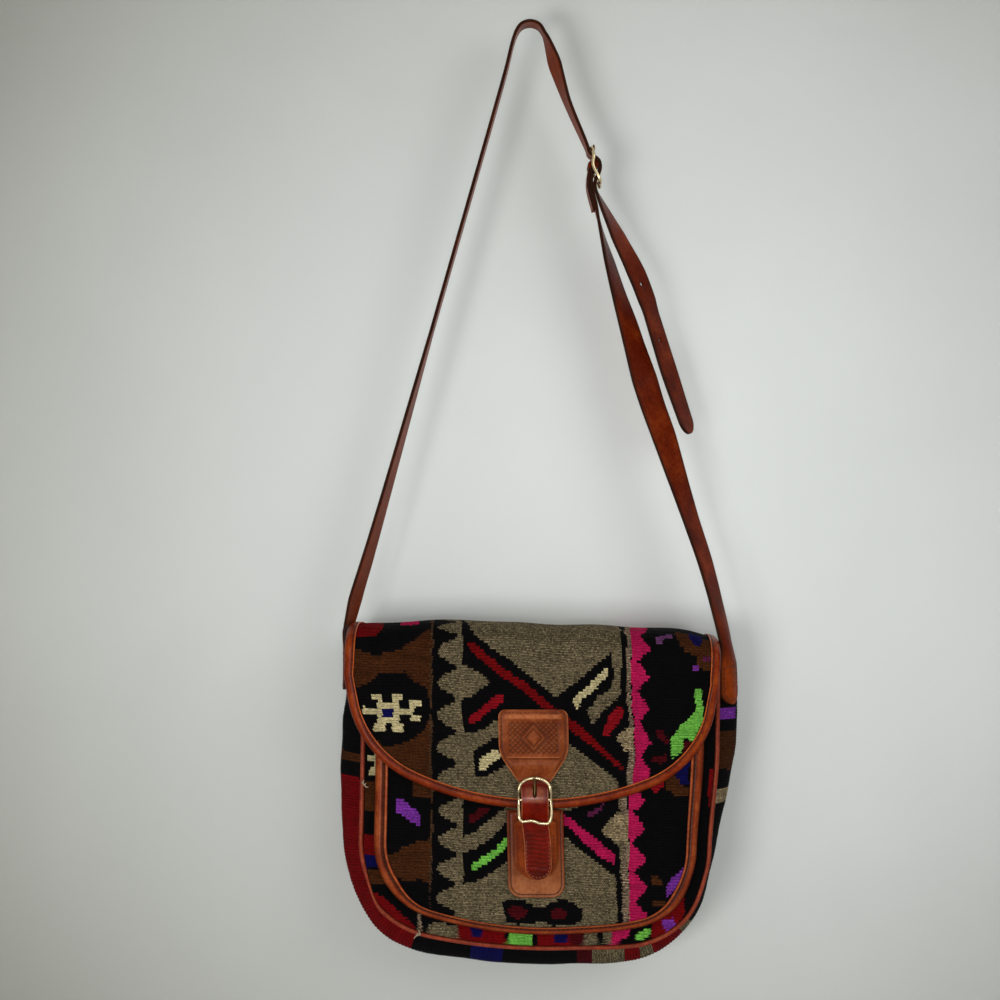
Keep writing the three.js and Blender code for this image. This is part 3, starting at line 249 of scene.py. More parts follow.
class Shell:
    """Points with named values, quads and larger faces, gathered into one mesh."""

    def __init__(self):
        self.points, self.quads, self.ngons, self.count = [], [], [], 0
        self.values = {}

    def add(self, points, quads, ngons=(), outward=True, **values):
        """outward turns the faces of a closed shell to the outside."""
        points = np.asarray(points, float).reshape(-1, 3)
        quads = np.asarray(quads, int).reshape(-1, 4)
        if outward:
            sets = [quads] + [np.asarray(n)[None, :] for n in ngons]
            middle, volume = points.mean(0), 0.0
            for faces in sets:
                if len(faces):
                    p = points[faces] - middle
                    for k in range(1, p.shape[1] - 1):
                        volume += np.einsum("ij,ij->", p[:, 0], np.cross(p[:, k], p[:, k + 1]))
            if volume < 0:
                quads = quads[:, ::-1]
                ngons = [list(n)[::-1] for n in ngons]
        for key in set(self.values) | set(values):
            self.values.setdefault(key, [np.zeros(self.count)])
            self.values[key].append(np.broadcast_to(values.get(key, 0.0), len(points)).astype(float))
        self.quads.append(quads + self.count)
        self.ngons += [np.asarray(n, int) + self.count for n in ngons]
        self.points.append(points)
        self.count += len(points)

    def mesh(self, name):
        points = np.concatenate(self.points) * 0.001
        quads = np.concatenate(self.quads)
        corners = np.concatenate([quads.reshape(-1), *self.ngons])
        sizes = np.concatenate([np.full(len(quads), 4), [len(n) for n in self.ngons]]).astype(int)
        mesh = bpy.data.meshes.new(name)
        mesh.vertices.add(len(points))
        mesh.vertices.foreach_set("co", points.ravel())
        mesh.loops.add(len(corners))
        mesh.loops.foreach_set("vertex_index", corners.astype(np.int32))
        mesh.polygons.add(len(sizes))
        mesh.polygons.foreach_set("loop_start", (np.cumsum(sizes) - sizes).astype(np.int32))
        mesh.update(calc_edges=True)
        mesh.polygons.foreach_set("use_smooth", np.ones(len(sizes), bool))
        for key, rows in self.values.items():
            mesh.attributes.new(key, "FLOAT", "POINT").data.foreach_set("value", np.concatenate(rows))
        return mesh


def linked(name, data):
    """A new object in the scene."""
    obj = bpy.data.objects.new(name, data)
    bpy.context.scene.collection.objects.link(obj)
    return obj


def piece(name, shape, material, body="bag", replaces=()):
    """A visible piece from a shell or a mesh, riding on its body."""
    mesh = shape.mesh(name) if isinstance(shape, Shell) else shape
    obj = linked(name, mesh)
    mesh.materials.append(material)
    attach(obj, body)
    if replaces:
        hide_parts(*replaces)
    return obj


def grid(rows, columns, wrap=False):
    """Quads over rows of points; wrap joins the last column to the first."""
    i = np.arange(rows - 1)[:, None] * columns
    j = np.arange(columns if wrap else columns - 1)[None, :]
    k = (j + 1) % columns
    return np.stack([i + j, i + k, i + columns + k, i + columns + j], -1).reshape(-1, 4)


def add_loft(shell, rings, closed=False, **values):
    """A closed shell through rings of points; closed joins the last ring to the first."""
    rings = np.asarray(rings)
    n, size = rings.shape[:2]
    quads = grid(n, size, wrap=True)
    ngons = []
    if closed:
        j = np.arange(size)
        k, last = (j + 1) % size, (n - 1) * size
        quads = np.concatenate([quads, np.stack([last + j, last + k, k, j], -1)])
    else:
        ngons = [list(range(size))[::-1], list(range((n - 1) * size, n * size))]
    values = {key: np.broadcast_to(v, (n, size)).ravel() for key, v in values.items()}
    shell.add(rings, quads, ngons, **values)


# The soft body in its straight frame


def sway(z):
    return BODY_SWAY * (z / BODY_DROP) ** 2


# How far the worn body gives way: its left front seam and lower right side inwards, its belly down
SEAM_IN, SIDE_IN, BELLY_SAG = 5.5, 4.0, 2.4


def slump(p):
    """How the soft body gives sideways."""
    x, y, z = p[..., 0], p[..., 1], p[..., 2]
    left = (SEAM_IN * smoothstep(-x, 100, 119) * smoothstep(-y, 0, 26)
            * (1 - smoothstep(-y, 30, 32)) * smoothstep(-z, 24, 60))
    right = (SIDE_IN * smoothstep(x, 85, 119) * smoothstep(-z, 80, 150)
             * (1 - smoothstep(-z, 165, 200)))
    return left - right


def hang(p):
    """Points of the straight body as the bag hangs: slumped, swayed, sloping and below the crown."""
    x, y, z = p[..., 0], p[..., 1], p[..., 2]
    sag = (BELLY_SAG * smoothstep(x, 25, 75) * (1 - smoothstep(x, 100, 119))
           * smoothstep(-z, 150, 215))
    across = x + slump(p) - sway(z) + MIDDLE_X
    return np.stack([across, y, z - sag - x * HANG - FOLD_BELOW_CROWN], -1)


def outline(top_half, half, top, bottom, corner, bow):
    """A U: straight sides, round corners and a bowed bottom."""
    u = SimpleNamespace(top_half=top_half, half=half, top=top, bottom=bottom, corner=corner, bow=bow)
    u.side = half - corner
    u.bow_height = bottom + bow
    u.height = u.bow_height - math.sqrt((bow - corner) ** 2 - u.side**2)
    u.meet = math.atan2(u.side, u.bow_height - u.height)
    return u


def inset(u, d):
    return outline(u.top_half - d, u.half - d, u.top, u.bottom + d, u.corner - d, u.bow - d)


BODY_CORNER, BODY_BOW = 62, 400
body_u = outline(BODY_HALF, BODY_HALF, -MOUTH_DROP, -BODY_DROP, BODY_CORNER, BODY_BOW)
back_u = outline(BODY_HALF, BODY_HALF, -FOLD_RISE, -BODY_DROP, BODY_CORNER, BODY_BOW)
POCKET_HALF, POCKET_TOP, POCKET_LOW = 109.3, -52.0, -207.0
POCKET_SHIFT = 2.4  # the pocket sits to the right of the middle
pocket_u = outline(POCKET_HALF, POCKET_HALF, POCKET_TOP, POCKET_LOW, 52, 270)
flap_u = outline(BODY_HALF + 2, BODY_HALF + 5.6, -FOLD_RISE, -122.0, 75, 200)
BINDING_INSET = BINDING_LEATHER + GAP
BINDING_HALF = CLOTH / 2 + GAP + BINDING_LEATHER


def half_at(u, z):
    """Half-width of the U at a height."""
    z = np.asarray(z, float)
    meet_z = u.height - u.corner * math.cos(u.meet)
    straight = lerp(u.top_half, u.half, np.clip((u.top - z) / (u.top - u.height), 0, 1))
    corner = u.side + np.sqrt(np.maximum(u.corner**2 - (u.height - z) ** 2, 0))
    bow = np.sqrt(np.maximum(u.bow**2 - (u.bow_height - z) ** 2, 0))
    return np.where(z >= u.height, straight, np.where(z >= meet_z, corner, bow))


def u_path(u, spacing):
    """The U from the left top round to the right top: x, z and outward normals."""
    def steps(length):
        return max(3, round(length / spacing))

    quarter = math.pi / 2
    side = np.linspace(0, 1, steps(u.top - u.height), endpoint=False)
    turn = np.linspace(quarter, u.meet, steps(u.corner * (quarter - u.meet)), endpoint=False)
    bow = np.linspace(u.meet, 0, steps(u.bow * u.meet) + 1)
    x = np.concatenate([lerp(u.top_half, u.half, side), u.side + u.corner * np.sin(turn),
                        u.bow * np.sin(bow)])
    z = np.concatenate([lerp(u.top, u.height, side), u.height - u.corner * np.cos(turn),
                        u.bow_height - u.bow * np.cos(bow)])
    angle = np.concatenate([np.full(len(side), quarter), turn, bow])
    half = np.stack([x, z, np.sin(angle), -np.cos(angle)], -1)
    return np.concatenate([half * [-1, 1, -1, 1], half[::-1][1:]])


def depth_inside(u, x, z):
    """How far points lie inside the edge of the U."""
    across = np.abs(x)
    corner = u.corner - np.hypot(np.maximum(across - u.side, 0), u.height - z)
    bow = u.bow - np.hypot(across, u.bow_height - z)
    low = np.where(np.arctan2(across, u.bow_height - z) < u.meet, bow, corner)
    return np.where(z >= u.height, u.half - across, low)


FRONT_FACE = -BODY_DEPTH / 2
POCKET_EDGE = FRONT_FACE - GAP - BINDING_HALF
POCKET_FACE = POCKET_EDGE - POCKET_PUFF - CLOTH / 2
FLAP_MIDDLE = POCKET_FACE - GAP - BINDING_HALF
FLAP_FACE = FLAP_MIDDLE - CLOTH / 2


def xyz(x, y, z):
    return np.stack(np.broadcast_arrays(x, y, z), -1).astype(float)


def front_point(x, z, m):
    return xyz(x, FRONT_FACE + CLOTH / 2 - m, z)


def back_point(x, z, m):
    return xyz(x, BODY_DEPTH / 2 - CLOTH / 2 + m, z)


def pocket_point(x, z, m):
    inside = np.clip(depth_inside(pocket_u, x, z) / POCKET_EASE, 0, 1)
    return xyz(x + POCKET_SHIFT, POCKET_EDGE - POCKET_PUFF * (1 - (1 - inside) ** 2) - m, z)


def flap_depth(x):
    return FLAP_MIDDLE + FLAP_EASE * (np.abs(x) / flap_u.half) ** FLAP_EASE_POWER


FLAP_SHIFT = -3.4  # the flap hangs to the left of the middle


def flap_give(x, down):
    """How far the flap lies to the side: its fold is pulled out at both ends."""
    middle = FLAP_SHIFT * smoothstep(down, FOLD_RISE, 62)
    left = eased(down, [20, 28, 48, 62, 80], [-6.8, -4.9, -2.4, -3.0, FLAP_SHIFT])
    right = eased(down, [20, 28, 35, 48, 55, 62, 80],
                  [1.2, -1.2, -3.2, -4.7, -4.2, -3.7, FLAP_SHIFT])
    return (middle + (left - middle) * smoothstep(-x, 70, 119)
            + (right - middle) * smoothstep(x, 70, 119))


def fold_give(x, turn):
    """The same on the fold, from the back over the crest to the front."""
    t = np.asarray(turn, float) / math.pi
    at_crest = eased(t, [0, 0.35, 0.6, 1], [0, 1.4, 1.6, 0], 0.12)
    front = flap_give(x, FOLD_RISE)
    return front * smoothstep(t, 0, 0.65) + at_crest * smoothstep(x, 70, 119)


def flap_point(x, z, m):
    return xyz(x + flap_give(x, -np.asarray(z, float)), flap_depth(x) - m, z)


def fold_point(x, turn, m):
    """Points on the fold: turn runs from 0 at the back to pi at the flap, m is off its middle."""
    back, front = BODY_DEPTH / 2 - CLOTH / 2, flap_depth(x)
    radius, rise = (back - front) / 2, FOLD_RISE - CLOTH / 2
    ny, nz = np.cos(turn) / radius, np.sin(turn) / rise
    size = np.hypot(ny, nz)
    ends = FOLD_DROOP * (np.abs(x) / BODY_HALF) ** 6
    droop = ends + 2.6 * smoothstep(-x, 30, 100) + 1.5 * smoothstep(x, 95, 120)
    droop = (droop + 1.5 * smoothstep(x, -50, -15) + 0.5 * np.sin(x / 8.5)) * np.sin(turn)
    return xyz(x + fold_give(x, turn), (back + front) / 2 + radius * np.cos(turn) + m * ny / size,
               rise * np.sin(turn) - FOLD_RISE - droop + m * nz / size)


# Arc length round the fold from its crest, for turns from back to front
FOLD_SAMPLES = 721
fold_turns = np.linspace(0, math.pi, FOLD_SAMPLES)
fold_arc = run_length(fold_point(np.zeros(FOLD_SAMPLES), fold_turns, 0.0))
QUARTER = fold_arc[-1] / 2
fold_arc -= QUARTER

# The weave


def inside(x, s, corners):
    """Which points lie in a polygon."""
    p = np.asarray(corners, float).reshape(-1, 2)
    found = np.zeros(x.shape, bool)
    for (x0, s0), (x1, s1) in zip(p, np.roll(p, -1, 0)):
        if s0 != s1:
            found ^= ((s0 > s) != (s1 > s)) & (x < (x1 - x0) * (s - s0) / (s1 - s0) + x0)
    return found


YARN = {name: k for k, name in enumerate(YARNS)}


def paint(yarn, x, s, motifs):
    """Lays the motifs over the yarns, each over those before it."""
    for name, corners in motifs:
        yarn[inside(x, s, corners)] = YARN[name]
    return yarn


def teeth(x, s, first, pitch, apex, base):
    """Blunt grey teeth that point to the left."""
    away = np.abs((s - first + pitch / 2) % pitch - pitch / 2)
    return x > lerp(apex, base, np.clip(away / (0.44 * pitch), 0, 1) ** 1.9)


def bands(x, s, edges, first, pitch):
    """The stripes that run down the cloth, from left to right."""
    brown, line, base, last = edges
    yarn = np.full(x.shape, YARN["grey"])
    yarn[x > last] = YARN["black"]
    zigzag = (x > line) & (x < base)
    yarn[zigzag & ~teeth(x, s, first, pitch, lerp(line, base, 0.22), base + 1)] = YARN["black"]
    yarn[x < line] = YARN["line"]
    yarn[x < brown] = YARN["brown"]
    return yarn


PATTERN_REPEAT = 280.0  # the pattern runs back and forth over the fold and down the back
POCKET_PATTERN_TOP = 94.0  # above this the pocket's pattern is mirrored, under the flap


def flap_yarn(x, s):
    s = np.abs((s + PATTERN_REPEAT / 2) % PATTERN_REPEAT - PATTERN_REPEAT / 2)
    return paint(bands(x, s, (-70.4, -69.0, -53.4, 58), 40.6, 21.0), x, s, FLAP_MOTIFS)


def pocket_yarn(x, s):
    s = np.where(s < POCKET_PATTERN_TOP, 2 * POCKET_PATTERN_TOP - s, s)
    return paint(bands(x, s, (-68.9, -67.5, -51.7, 58.5), 125.0, 19.4), x, s, POCKET_MOTIFS)


def front_yarn(x, s):
    yarn = np.full(x.shape, YARN["black"])
    yarn[(x < -100) & (s > 108) & (s < 124) & ((s / RIB) % 2 < 1)] = YARN["brown"]
    return paint(yarn, x, s, FRONT_MOTIFS)


# Colours of the gusset from the left mouth round to the right one
GUSSET_STOPS = [
    (0, "black"), (67, "brown"), (74, "black"), (84, "red"), (202, "black"), (239, "navy"), (260, "black"),
    (309, "maroon"), (319, "grey"), (340, "red"), (351, "grey"), (358, "red"), (378, "grey"), (386, "black"),
    (464, "tooth"), (474, "black"), (486, "brown"), (512, "black"), (520, "violet"), (528, "black")]


def gusset_yarn(x, s):
    stop = np.searchsorted([a for a, _ in GUSSET_STOPS], s + 0.04 * x, side="right") - 1
    yarn = np.array([YARN[n] for _, n in GUSSET_STOPS])[np.clip(stop, 0, None)]
    yarn[(yarn == YARN["violet"]) & (x > -9)] = YARN["black"]
    return yarn


def ribbed(low, high, steps):
    """Rows along the cloth, steps to a rib, with the ribs at whole multiples of their pitch."""
    first, last = math.ceil(low / RIB * steps + 0.3), math.floor(high / RIB * steps - 0.3)
    return np.concatenate([[low], np.arange(first, last + 1) * RIB / steps, [high]])


def crest(s):
    """Height of the rib profile, 0 in a valley and 1 on a crest."""
    return np.sin(math.pi * ((s / RIB) % 1)) ** 0.6


# Bake layout of a sheet, in shares of the image: the face, the back beside it, and thin strips for the rims
UV_EDGE, UV_FACE, UV_DOWN = 0.005, 0.86, 0.975
UV_BACK, UV_BACK_WIDTH = 0.88, 0.11
UV_SIDE, UV_SIDE_STEP, UV_END, UV_END_STEP, UV_STRIP = 0.868, 0.005, 0.985, 0.006, 0.002


def sheet_rims(r, c, ri, ci):
    """Faces all round a sheet, from the rows and columns of its face to the fewer ones of its back."""
    base, ic = r * c, len(ci)
    rims = []
    for k, (a, b) in enumerate(zip(ri, ri[1:])):
        for edge, j, turn in ((0, 0, 1), (c - 1, ic - 1, -1)):
            run = [i * c + edge for i in range(a, b + 1)] + [base + (k + 1) * ic + j, base + k * ic + j]
            rims.append(run[::turn])
    for k, (a, b) in enumerate(zip(ci, ci[1:])):
        for edge, i, turn in ((0, 0, -1), (r - 1, len(ri) - 1, 1)):
            run = [edge * c + j for j in range(a, b + 1)] + [base + i * ic + k + 1, base + i * ic + k]
            rims.append(run[::turn])
    return rims


def wander(x, s, share, rows):
    """How far the ribs stray from straight lines, away from the edges of a sheet."""
    stray = 0.42 * np.sin(x / 11 + 0.9 * np.sin(s / 14))
    stray = stray + 0.2 * np.sin(x / 4.1 + 2.4 * s) * np.sin(s / 9 + x / 30)
    stray = stray * smoothstep(np.minimum(s - rows[0], rows[-1] - s), 1, 8)
    return stray * smoothstep(1 - np.abs(share), 0, 0.04)


def dye(mesh, x, s, yarn_at):
    """Gives each face one yarn, the one in the middle of its rib; x and s are the middles of the faces."""
    rib = np.floor(s / RIB)
    ragged = np.sin(rib * 12.9898 + np.floor(x / 2.2) * 78.233) * 0.5
    yarn = yarn_at(x + ragged, (rib + 0.5) * RIB)
    tone = 1 + 0.07 * np.sin(rib * 1.7 + 0.3) * np.sin(rib * 0.23)
    tone = tone + 0.05 * np.sin(rib * 5.3 + x * 0.05)
    colours = np.array([linear(rgb) for rgb, _ in YARNS.values()])[yarn]
    loose = np.array([uneven for _, uneven in YARNS.values()])[yarn]
    tone = tone * (1 + loose * 0.22 * rng.standard_normal(len(tone)).clip(-2, 2))
    colours = np.clip(colours * tone[:, None], 0.002, 1).astype(np.float32)
    mesh.attributes.new("yarn", "FLOAT_VECTOR", "FACE").data.foreach_set("vector", colours.ravel())
    mesh.attributes.new("loose", "FLOAT", "FACE").data.foreach_set("value", loose.astype(np.float32))


def bake_layout(over, down, hidden, rim, side_rims):
    """Places of a sheet's corners on its image.

    over and down are shares of the sheet, hidden says which corners are on its back, and rim counts their
    faces from the first rim; the rims of the sides come first, in pairs, and then those of the ends."""
    face_u, face_v = UV_EDGE + UV_FACE * over, UV_EDGE + UV_DOWN * down
    sheet = np.stack([np.where(hidden, UV_BACK + UV_BACK_WIDTH * over, face_u), face_v], -1)
    second, strip = rim % 2, UV_STRIP * hidden
    side = np.stack([UV_SIDE + UV_SIDE_STEP * second + strip, face_v], -1)
    end = np.stack([face_u, UV_END + UV_END_STEP * second + strip], -1)
    rims = np.where((rim >= side_rims)[:, None], end, side)
    return np.where((rim >= 0)[:, None], rims, sheet)


def add_uv(mesh, name, uv):
    mesh.uv_layers.new(name=name).data.foreach_set("uv", uv.astype(np.float32).ravel())


def cloth(name, rows, columns, at, yarn_at, half, replaces, along=False):
    """A closed woven sheet.

    at(share, s, m) gives points, half(s) the half-width of a row and yarn_at(x, s) the yarns. The pattern
    follows the cloth's own x where the sheet runs along a seam, and else x as it hangs."""
    r, c = len(rows), len(columns)
    s, share = rows[:, None], columns[None, :]
    x = share * half(rows)[:, None]
    ri = np.unique(np.append(np.arange(0, r, BACK_STEPS[0]), r - 1))
    ci = np.unique(np.append(np.arange(0, c, BACK_STEPS[1]), c - 1))

    def on_both(values):
        """Values of the face's points, then those of the back's."""
        values = np.broadcast_to(values, (r, c))
        return np.concatenate([values.ravel(), values[np.ix_(ri, ci)].ravel()])

    face_points = at(share, s + wander(x, s, share, rows), CLOTH / 2 - RELIEF * (1 - crest(s)) + 0 * x)
    back_points = at(columns[ci][None, :], rows[ri][:, None], -CLOTH / 2 + 0 * x[np.ix_(ri, ci)])
    straight = np.concatenate([face_points.reshape(-1, 3), back_points.reshape(-1, 3)])
    points = hang(straight)
    quads = np.concatenate([grid(r, c), grid(len(ri), len(ci))[:, ::-1] + r * c])
    shell = Shell()
    shell.add(points, quads, sheet_rims(r, c, ri, ci))
    mesh = shell.mesh(name)

    corner = np.zeros(len(mesh.loops), np.int32)
    mesh.loops.foreach_get("vertex_index", corner)
    sizes = np.zeros(len(mesh.polygons), np.int32)
    mesh.polygons.foreach_get("loop_total", sizes)
    face = np.repeat(np.arange(len(sizes)), sizes)
    u, v = on_both(x), on_both(s)
    shown = u if along else points[:, 0] - MIDDLE_X + sway(straight[:, 2])
    dye(mesh, *(np.bincount(face, values[corner]) / sizes for values in (shown, v)), yarn_at)
    add_uv(mesh, "weave", np.stack([u, v / RIB], -1)[corner])
    over, down = (on_both(share) + 1) / 2, (v - rows[0]) / (rows[-1] - rows[0])
    rim, side_rims = face - len(quads), 2 * (len(ri) - 1)
    add_uv(mesh, "OFBake", bake_layout(over[corner], down[corner], corner >= r * c, rim, side_rims))
    mesh.polygons.foreach_set("use_smooth", np.arange(len(sizes)) < len(quads))
    return piece(name, mesh, kilim, replaces=replaces)


# Materials


class Nodes:
    """Short way to write a node tree."""

    def __init__(self, name):
        self.material = bpy.data.materials.new(name)
        self.material.use_nodes = True
        self.tree = self.material.node_tree
        self.shader = self.tree.nodes["Principled BSDF"]

    def node(self, kind, inputs=None, **settings):
        n = self.tree.nodes.new(kind)
        for key, value in settings.items():
            setattr(n, key, value)
        for key, value in (inputs or {}).items():
            self.set(n.inputs[key], value)
        return n

    def set(self, socket, value):
        if isinstance(value, bpy.types.NodeSocket):
            self.tree.links.new(value, socket)
        else:
            socket.default_value = value

    def math(self, operation, a, b=0.0, c=0.0):
        n = self.node("ShaderNodeMath", {0: a, 1: b, 2: c}, operation=operation)
        return n.outputs[0]

    def plus(self, a, b):
        return self.math("ADD", a, b)

    def times(self, a, b):
        return self.math("MULTIPLY", a, b)

    def mix(self, factor, a, b, blend="MIX"):
        n = self.node("ShaderNodeMix", data_type="RGBA", blend_type=blend)
        self.set(n.inputs[0], factor)
        self.set(n.inputs[6], a)
        self.set(n.inputs[7], b)
        return n.outputs[2]

    def span(self, value, low, high, to_low, to_high):
        n = self.node("ShaderNodeMapRange", {0: value, 1: low, 2: high, 3: to_low, 4: to_high})
        return n.outputs[0]

    def noise(self, vector, scale, detail=3.0, rough=0.55):
        inputs = {"Vector": vector, "Scale": scale, "Detail": detail, "Roughness": rough}
        return self.node("ShaderNodeTexNoise", inputs).outputs["Fac"]

    def value(self, name, output="Fac"):
        """A named value of the mesh."""
        return self.node("ShaderNodeAttribute", attribute_name=name).outputs[output]

    def place(self):
        return self.node("ShaderNodeTexCoord").outputs["Object"]

    def bump(self, height, strength, distance):
        inputs = {"Height": height, "Strength": strength, "Distance": distance}
        return self.node("ShaderNodeBump", inputs).outputs["Normal"]

    def finish(self, colour, roughness, normal, **constant):
        s = self.shader.inputs
        for key, value in (("Base Color", colour), ("Roughness", roughness), ("Normal", normal)):
            self.set(s[key], value)
        for key, value in constant.items():
            s[key.replace("_", " ")].default_value = value
        return self.material


def rgba(rgb):
    return (*linear(rgb), 1.0)


def grey(v):
    return (v, v, v, 1.0)


def woven():
    """Weft-faced wool: ribs of beaten-in weft with the single stitches staggered from rib to rib. The valleys
    between the ribs and the gaps between the stitches are darkened with painted shade.
    """
    n = Nodes("kilim_wool")
    yarn, loose = n.value("yarn", "Vector"), n.value("loose")
    uv = n.node("ShaderNodeUVMap", uv_map="weave").outputs["UV"]
    across = n.node("ShaderNodeSeparateXYZ", {0: uv})
    # the stitches: a random tone for each, and painted shade in the gaps between them
    stitch = n.node("ShaderNodeTexBrick", {
        "Vector": uv, "Color1": grey(2.2), "Color2": grey(0.48), "Mortar": grey(0.25), "Scale": 1.0,
        "Mortar Size": 0.16, "Mortar Smooth": 0.7, "Bias": 0.0, "Brick Width": 1.2, "Row Height": 0.5,
    }, offset=0.5)
    # painted shade: the valleys between the ribs are darkened in the colour, more for uneven yarns
    valley_shade_depth = n.span(loose, 0.0, 1.0, 0.64, 0.84)
    valley = n.span(n.math("PINGPONG", across.outputs["Y"], 0.5), 0.02, 0.2, valley_shade_depth, 1.04)
    fibres = n.node("ShaderNodeMapping", {"Vector": uv, "Scale": (1.1, 7.0, 1.0)}).outputs[0]
    fibre = n.noise(fibres, 2.3, 4.0, 0.7)
    patchy = n.noise(uv, 0.09, 3.0)
    colour = n.mix(loose, n.mix(0.3, grey(1.0), stitch.outputs["Color"]), stitch.outputs["Color"])
    colour = n.mix(1.0, yarn, colour, "MULTIPLY")
    shade = n.times(valley, n.span(fibre, 0.3, 0.7, 0.78, 1.2))
    shade = n.times(shade, n.span(patchy, 0.35, 0.65, 0.88, 1.1))
    tone = n.node("ShaderNodeCombineColor", {0: shade, 1: shade, 2: shade}).outputs[0]
    colour = n.mix(1.0, colour, tone, "MULTIPLY")
    bricks = n.math("SUBTRACT", 1.0, stitch.outputs["Fac"])
    bricks = n.times(bricks, n.span(loose, 0.0, 1.0, 0.35, 1.0))
    height = n.plus(bricks, n.times(fibre, 0.5))
    normal = n.bump(height, 0.55, 0.0005)
    return n.finish(colour, n.span(fibre, 0.3, 0.7, 0.84, 0.98), normal, Specular_IOR_Level=0.05)


def leather(name, dark, mid, light, gloss, grain=1500.0, second=None, shine=0.03, coat=0.09, rim=None,
            wax=0.0, haze=0.18):
    """Vegetable-tanned leather: mottled dye and fine grain, with a dark share and a pale share. The dark
    share is dye on cut edges, darker turned edges and painted shade in grooves and seams; the pale share is
    pale cut edges and painted highlights on crowns, ridges and the loop's crest.

    second is the dye where tint is 1, rim the colour of the dark share (dye on cut edges and painted shade),
    coat and haze the weight and roughness of the finish, and wax how much more of it there is where the mesh
    is waxed."""
    n = Nodes(name)
    place = n.place()
    edge, raw = n.value("edge"), n.value("raw")
    broad, fine = n.noise(place, 55.0, 4.0), n.noise(place, 420.0, 5.0, 0.65)
    blend = n.plus(n.times(broad, 0.65), n.times(fine, 0.35))
    ramp = n.node("ShaderNodeValToRGB", {0: blend})
    stops = ramp.color_ramp.elements
    stops[0].position, stops[0].color = 0.34, rgba(dark)
    stops[1].position, stops[1].color = 0.66, rgba(light)
    middle = stops.new(0.5)
    middle.color = rgba(mid)
    pores = n.node("ShaderNodeTexVoronoi", {"Vector": place, "Scale": grain}, feature="DISTANCE_TO_EDGE")
    pores = pores.outputs["Distance"]
    creases = n.noise(place, 900.0, 6.0, 0.7)
    colour = ramp.outputs[0]
    if second:
        deep, pale = rgba([0.72 * c for c in second]), rgba([1.18 * c for c in second])
        other = n.mix(n.span(blend, 0.36, 0.64, 0.0, 1.0), deep, pale)
        colour = n.mix(n.value("tint"), colour, other)
    colour = n.mix(n.span(pores, 0.0, 0.12, 0.28, 0.0), colour, rgba(dark))
    # dark share: dye on cut edges, and painted shade in grooves and seams
    edge_dye_and_shade = n.times(edge, n.span(fine, 0.3, 0.7, 0.65, 1.0))
    colour = n.mix(edge_dye_and_shade, colour, rgba(rim or [0.35 * c for c in dark]))
    # pale share: pale cut edges, and painted highlights on crowns, ridges and the loop's crest
    pale_and_highlight_share = n.times(raw, n.span(fine, 0.35, 0.65, 0.5, 1.0))
    colour = n.mix(pale_and_highlight_share, colour, rgba([min(255, 1.25 * c + 25) for c in light]))
    height = n.plus(n.span(pores, 0.0, 0.18, 0.0, 0.7), n.times(creases, 0.6))
    normal = n.bump(n.plus(height, n.times(broad, 2.0)), 0.22, 0.0004)
    rough = n.span(fine, 0.3, 0.7, gloss - 0.08, gloss + 0.09)
    rough = n.plus(rough, n.times(edge, 0.12))
    if second:
        rough = n.math("SUBTRACT", rough, n.times(n.value("tint"), 0.12))
    n.finish(colour, rough, normal, Specular_IOR_Level=shine, Coat_Weight=coat, Coat_Roughness=haze)
    if wax:
        waxed = n.math("MULTIPLY_ADD", n.value("wax"), wax, coat)
        n.set(n.shader.inputs["Coat Weight"], waxed)
    return n.material


def brass(name, bright, dull):
    """Handled brass, dull where it has tarnished."""
    n = Nodes(name)
    place = n.place()
    tarnish, scuffs = n.noise(place, 95.0, 4.0, 0.6), n.noise(place, 1400.0, 4.0, 0.7)
    colour = n.mix(n.span(tarnish, 0.46, 0.7, 0.0, 0.8), rgba(bright), rgba(dull))
    rough = n.plus(n.span(tarnish, 0.35, 0.7, 0.12, 0.28), n.times(scuffs, 0.1))
    return n.finish(colour, rough, n.bump(scuffs, 0.06, 0.0002), Metallic=1.0)


def thread(name, dark, light):
    """Twisted thread with a little fuzz."""
    n = Nodes(name)
    place = n.place()
    wave = {"Vector": place, "Scale": 900.0, "Distortion": 2.0, "Detail": 1.0}
    twist = n.node("ShaderNodeTexWave", wave, bands_direction="DIAGONAL").outputs["Fac"]
    fuzz = n.noise(place, 2200.0, 3.0)
    lit = n.times(twist, n.span(fuzz, 0.3, 0.7, 0.4, 1.0))
    colour = n.mix(lit, rgba(dark), rgba(light))
    return n.finish(colour, n.span(fuzz, 0.3, 0.7, 0.6, 0.85), n.bump(twist, 0.5, 0.0002),
                    Specular_IOR_Level=0.3)


kilim = woven()
binding_leather = leather("binding_leather", (78, 17, 2), (117, 35, 6), (152, 65, 19), 0.34)
pocket_leather = leather("pocket_binding_leather", (88, 26, 7), (124, 46, 16), (160, 78, 36), 0.33)
piping_leather = leather("piping_leather", (70, 13, 5), (98, 24, 10), (136, 54, 30), 0.33)
tab_leather = leather("tab_leather", (94, 36, 11), (126, 58, 24), (154, 84, 44), 0.4, grain=1300.0,
                      second=(112, 16, 4), coat=0.06, wax=0.74, haze=0.25)
patch_leather = leather("patch_leather", (104, 46, 18), (132, 70, 36), (156, 94, 58), 0.44, grain=1300.0,
                        second=(118, 46, 15))
chape_leather = leather("chape_leather", (104, 33, 4), (134, 54, 11), (156, 72, 20), 0.38)
strap_leather = leather("strap_leather", (70, 16, 2), (100, 29, 4), (132, 50, 13), 0.34,
                        second=(142, 58, 13), shine=0.02, coat=0.04, rim=(27, 21, 13))
metal = brass("old_brass", (218, 198, 156), (100, 78, 46))
dark_metal = brass("tarnished_brass", (128, 104, 66), (54, 40, 22))
brown_thread = thread("brown_thread", (40, 16, 8), (104, 50, 26))
pale_thread = thread("pale_thread", (120, 100, 78), (206, 190, 160))
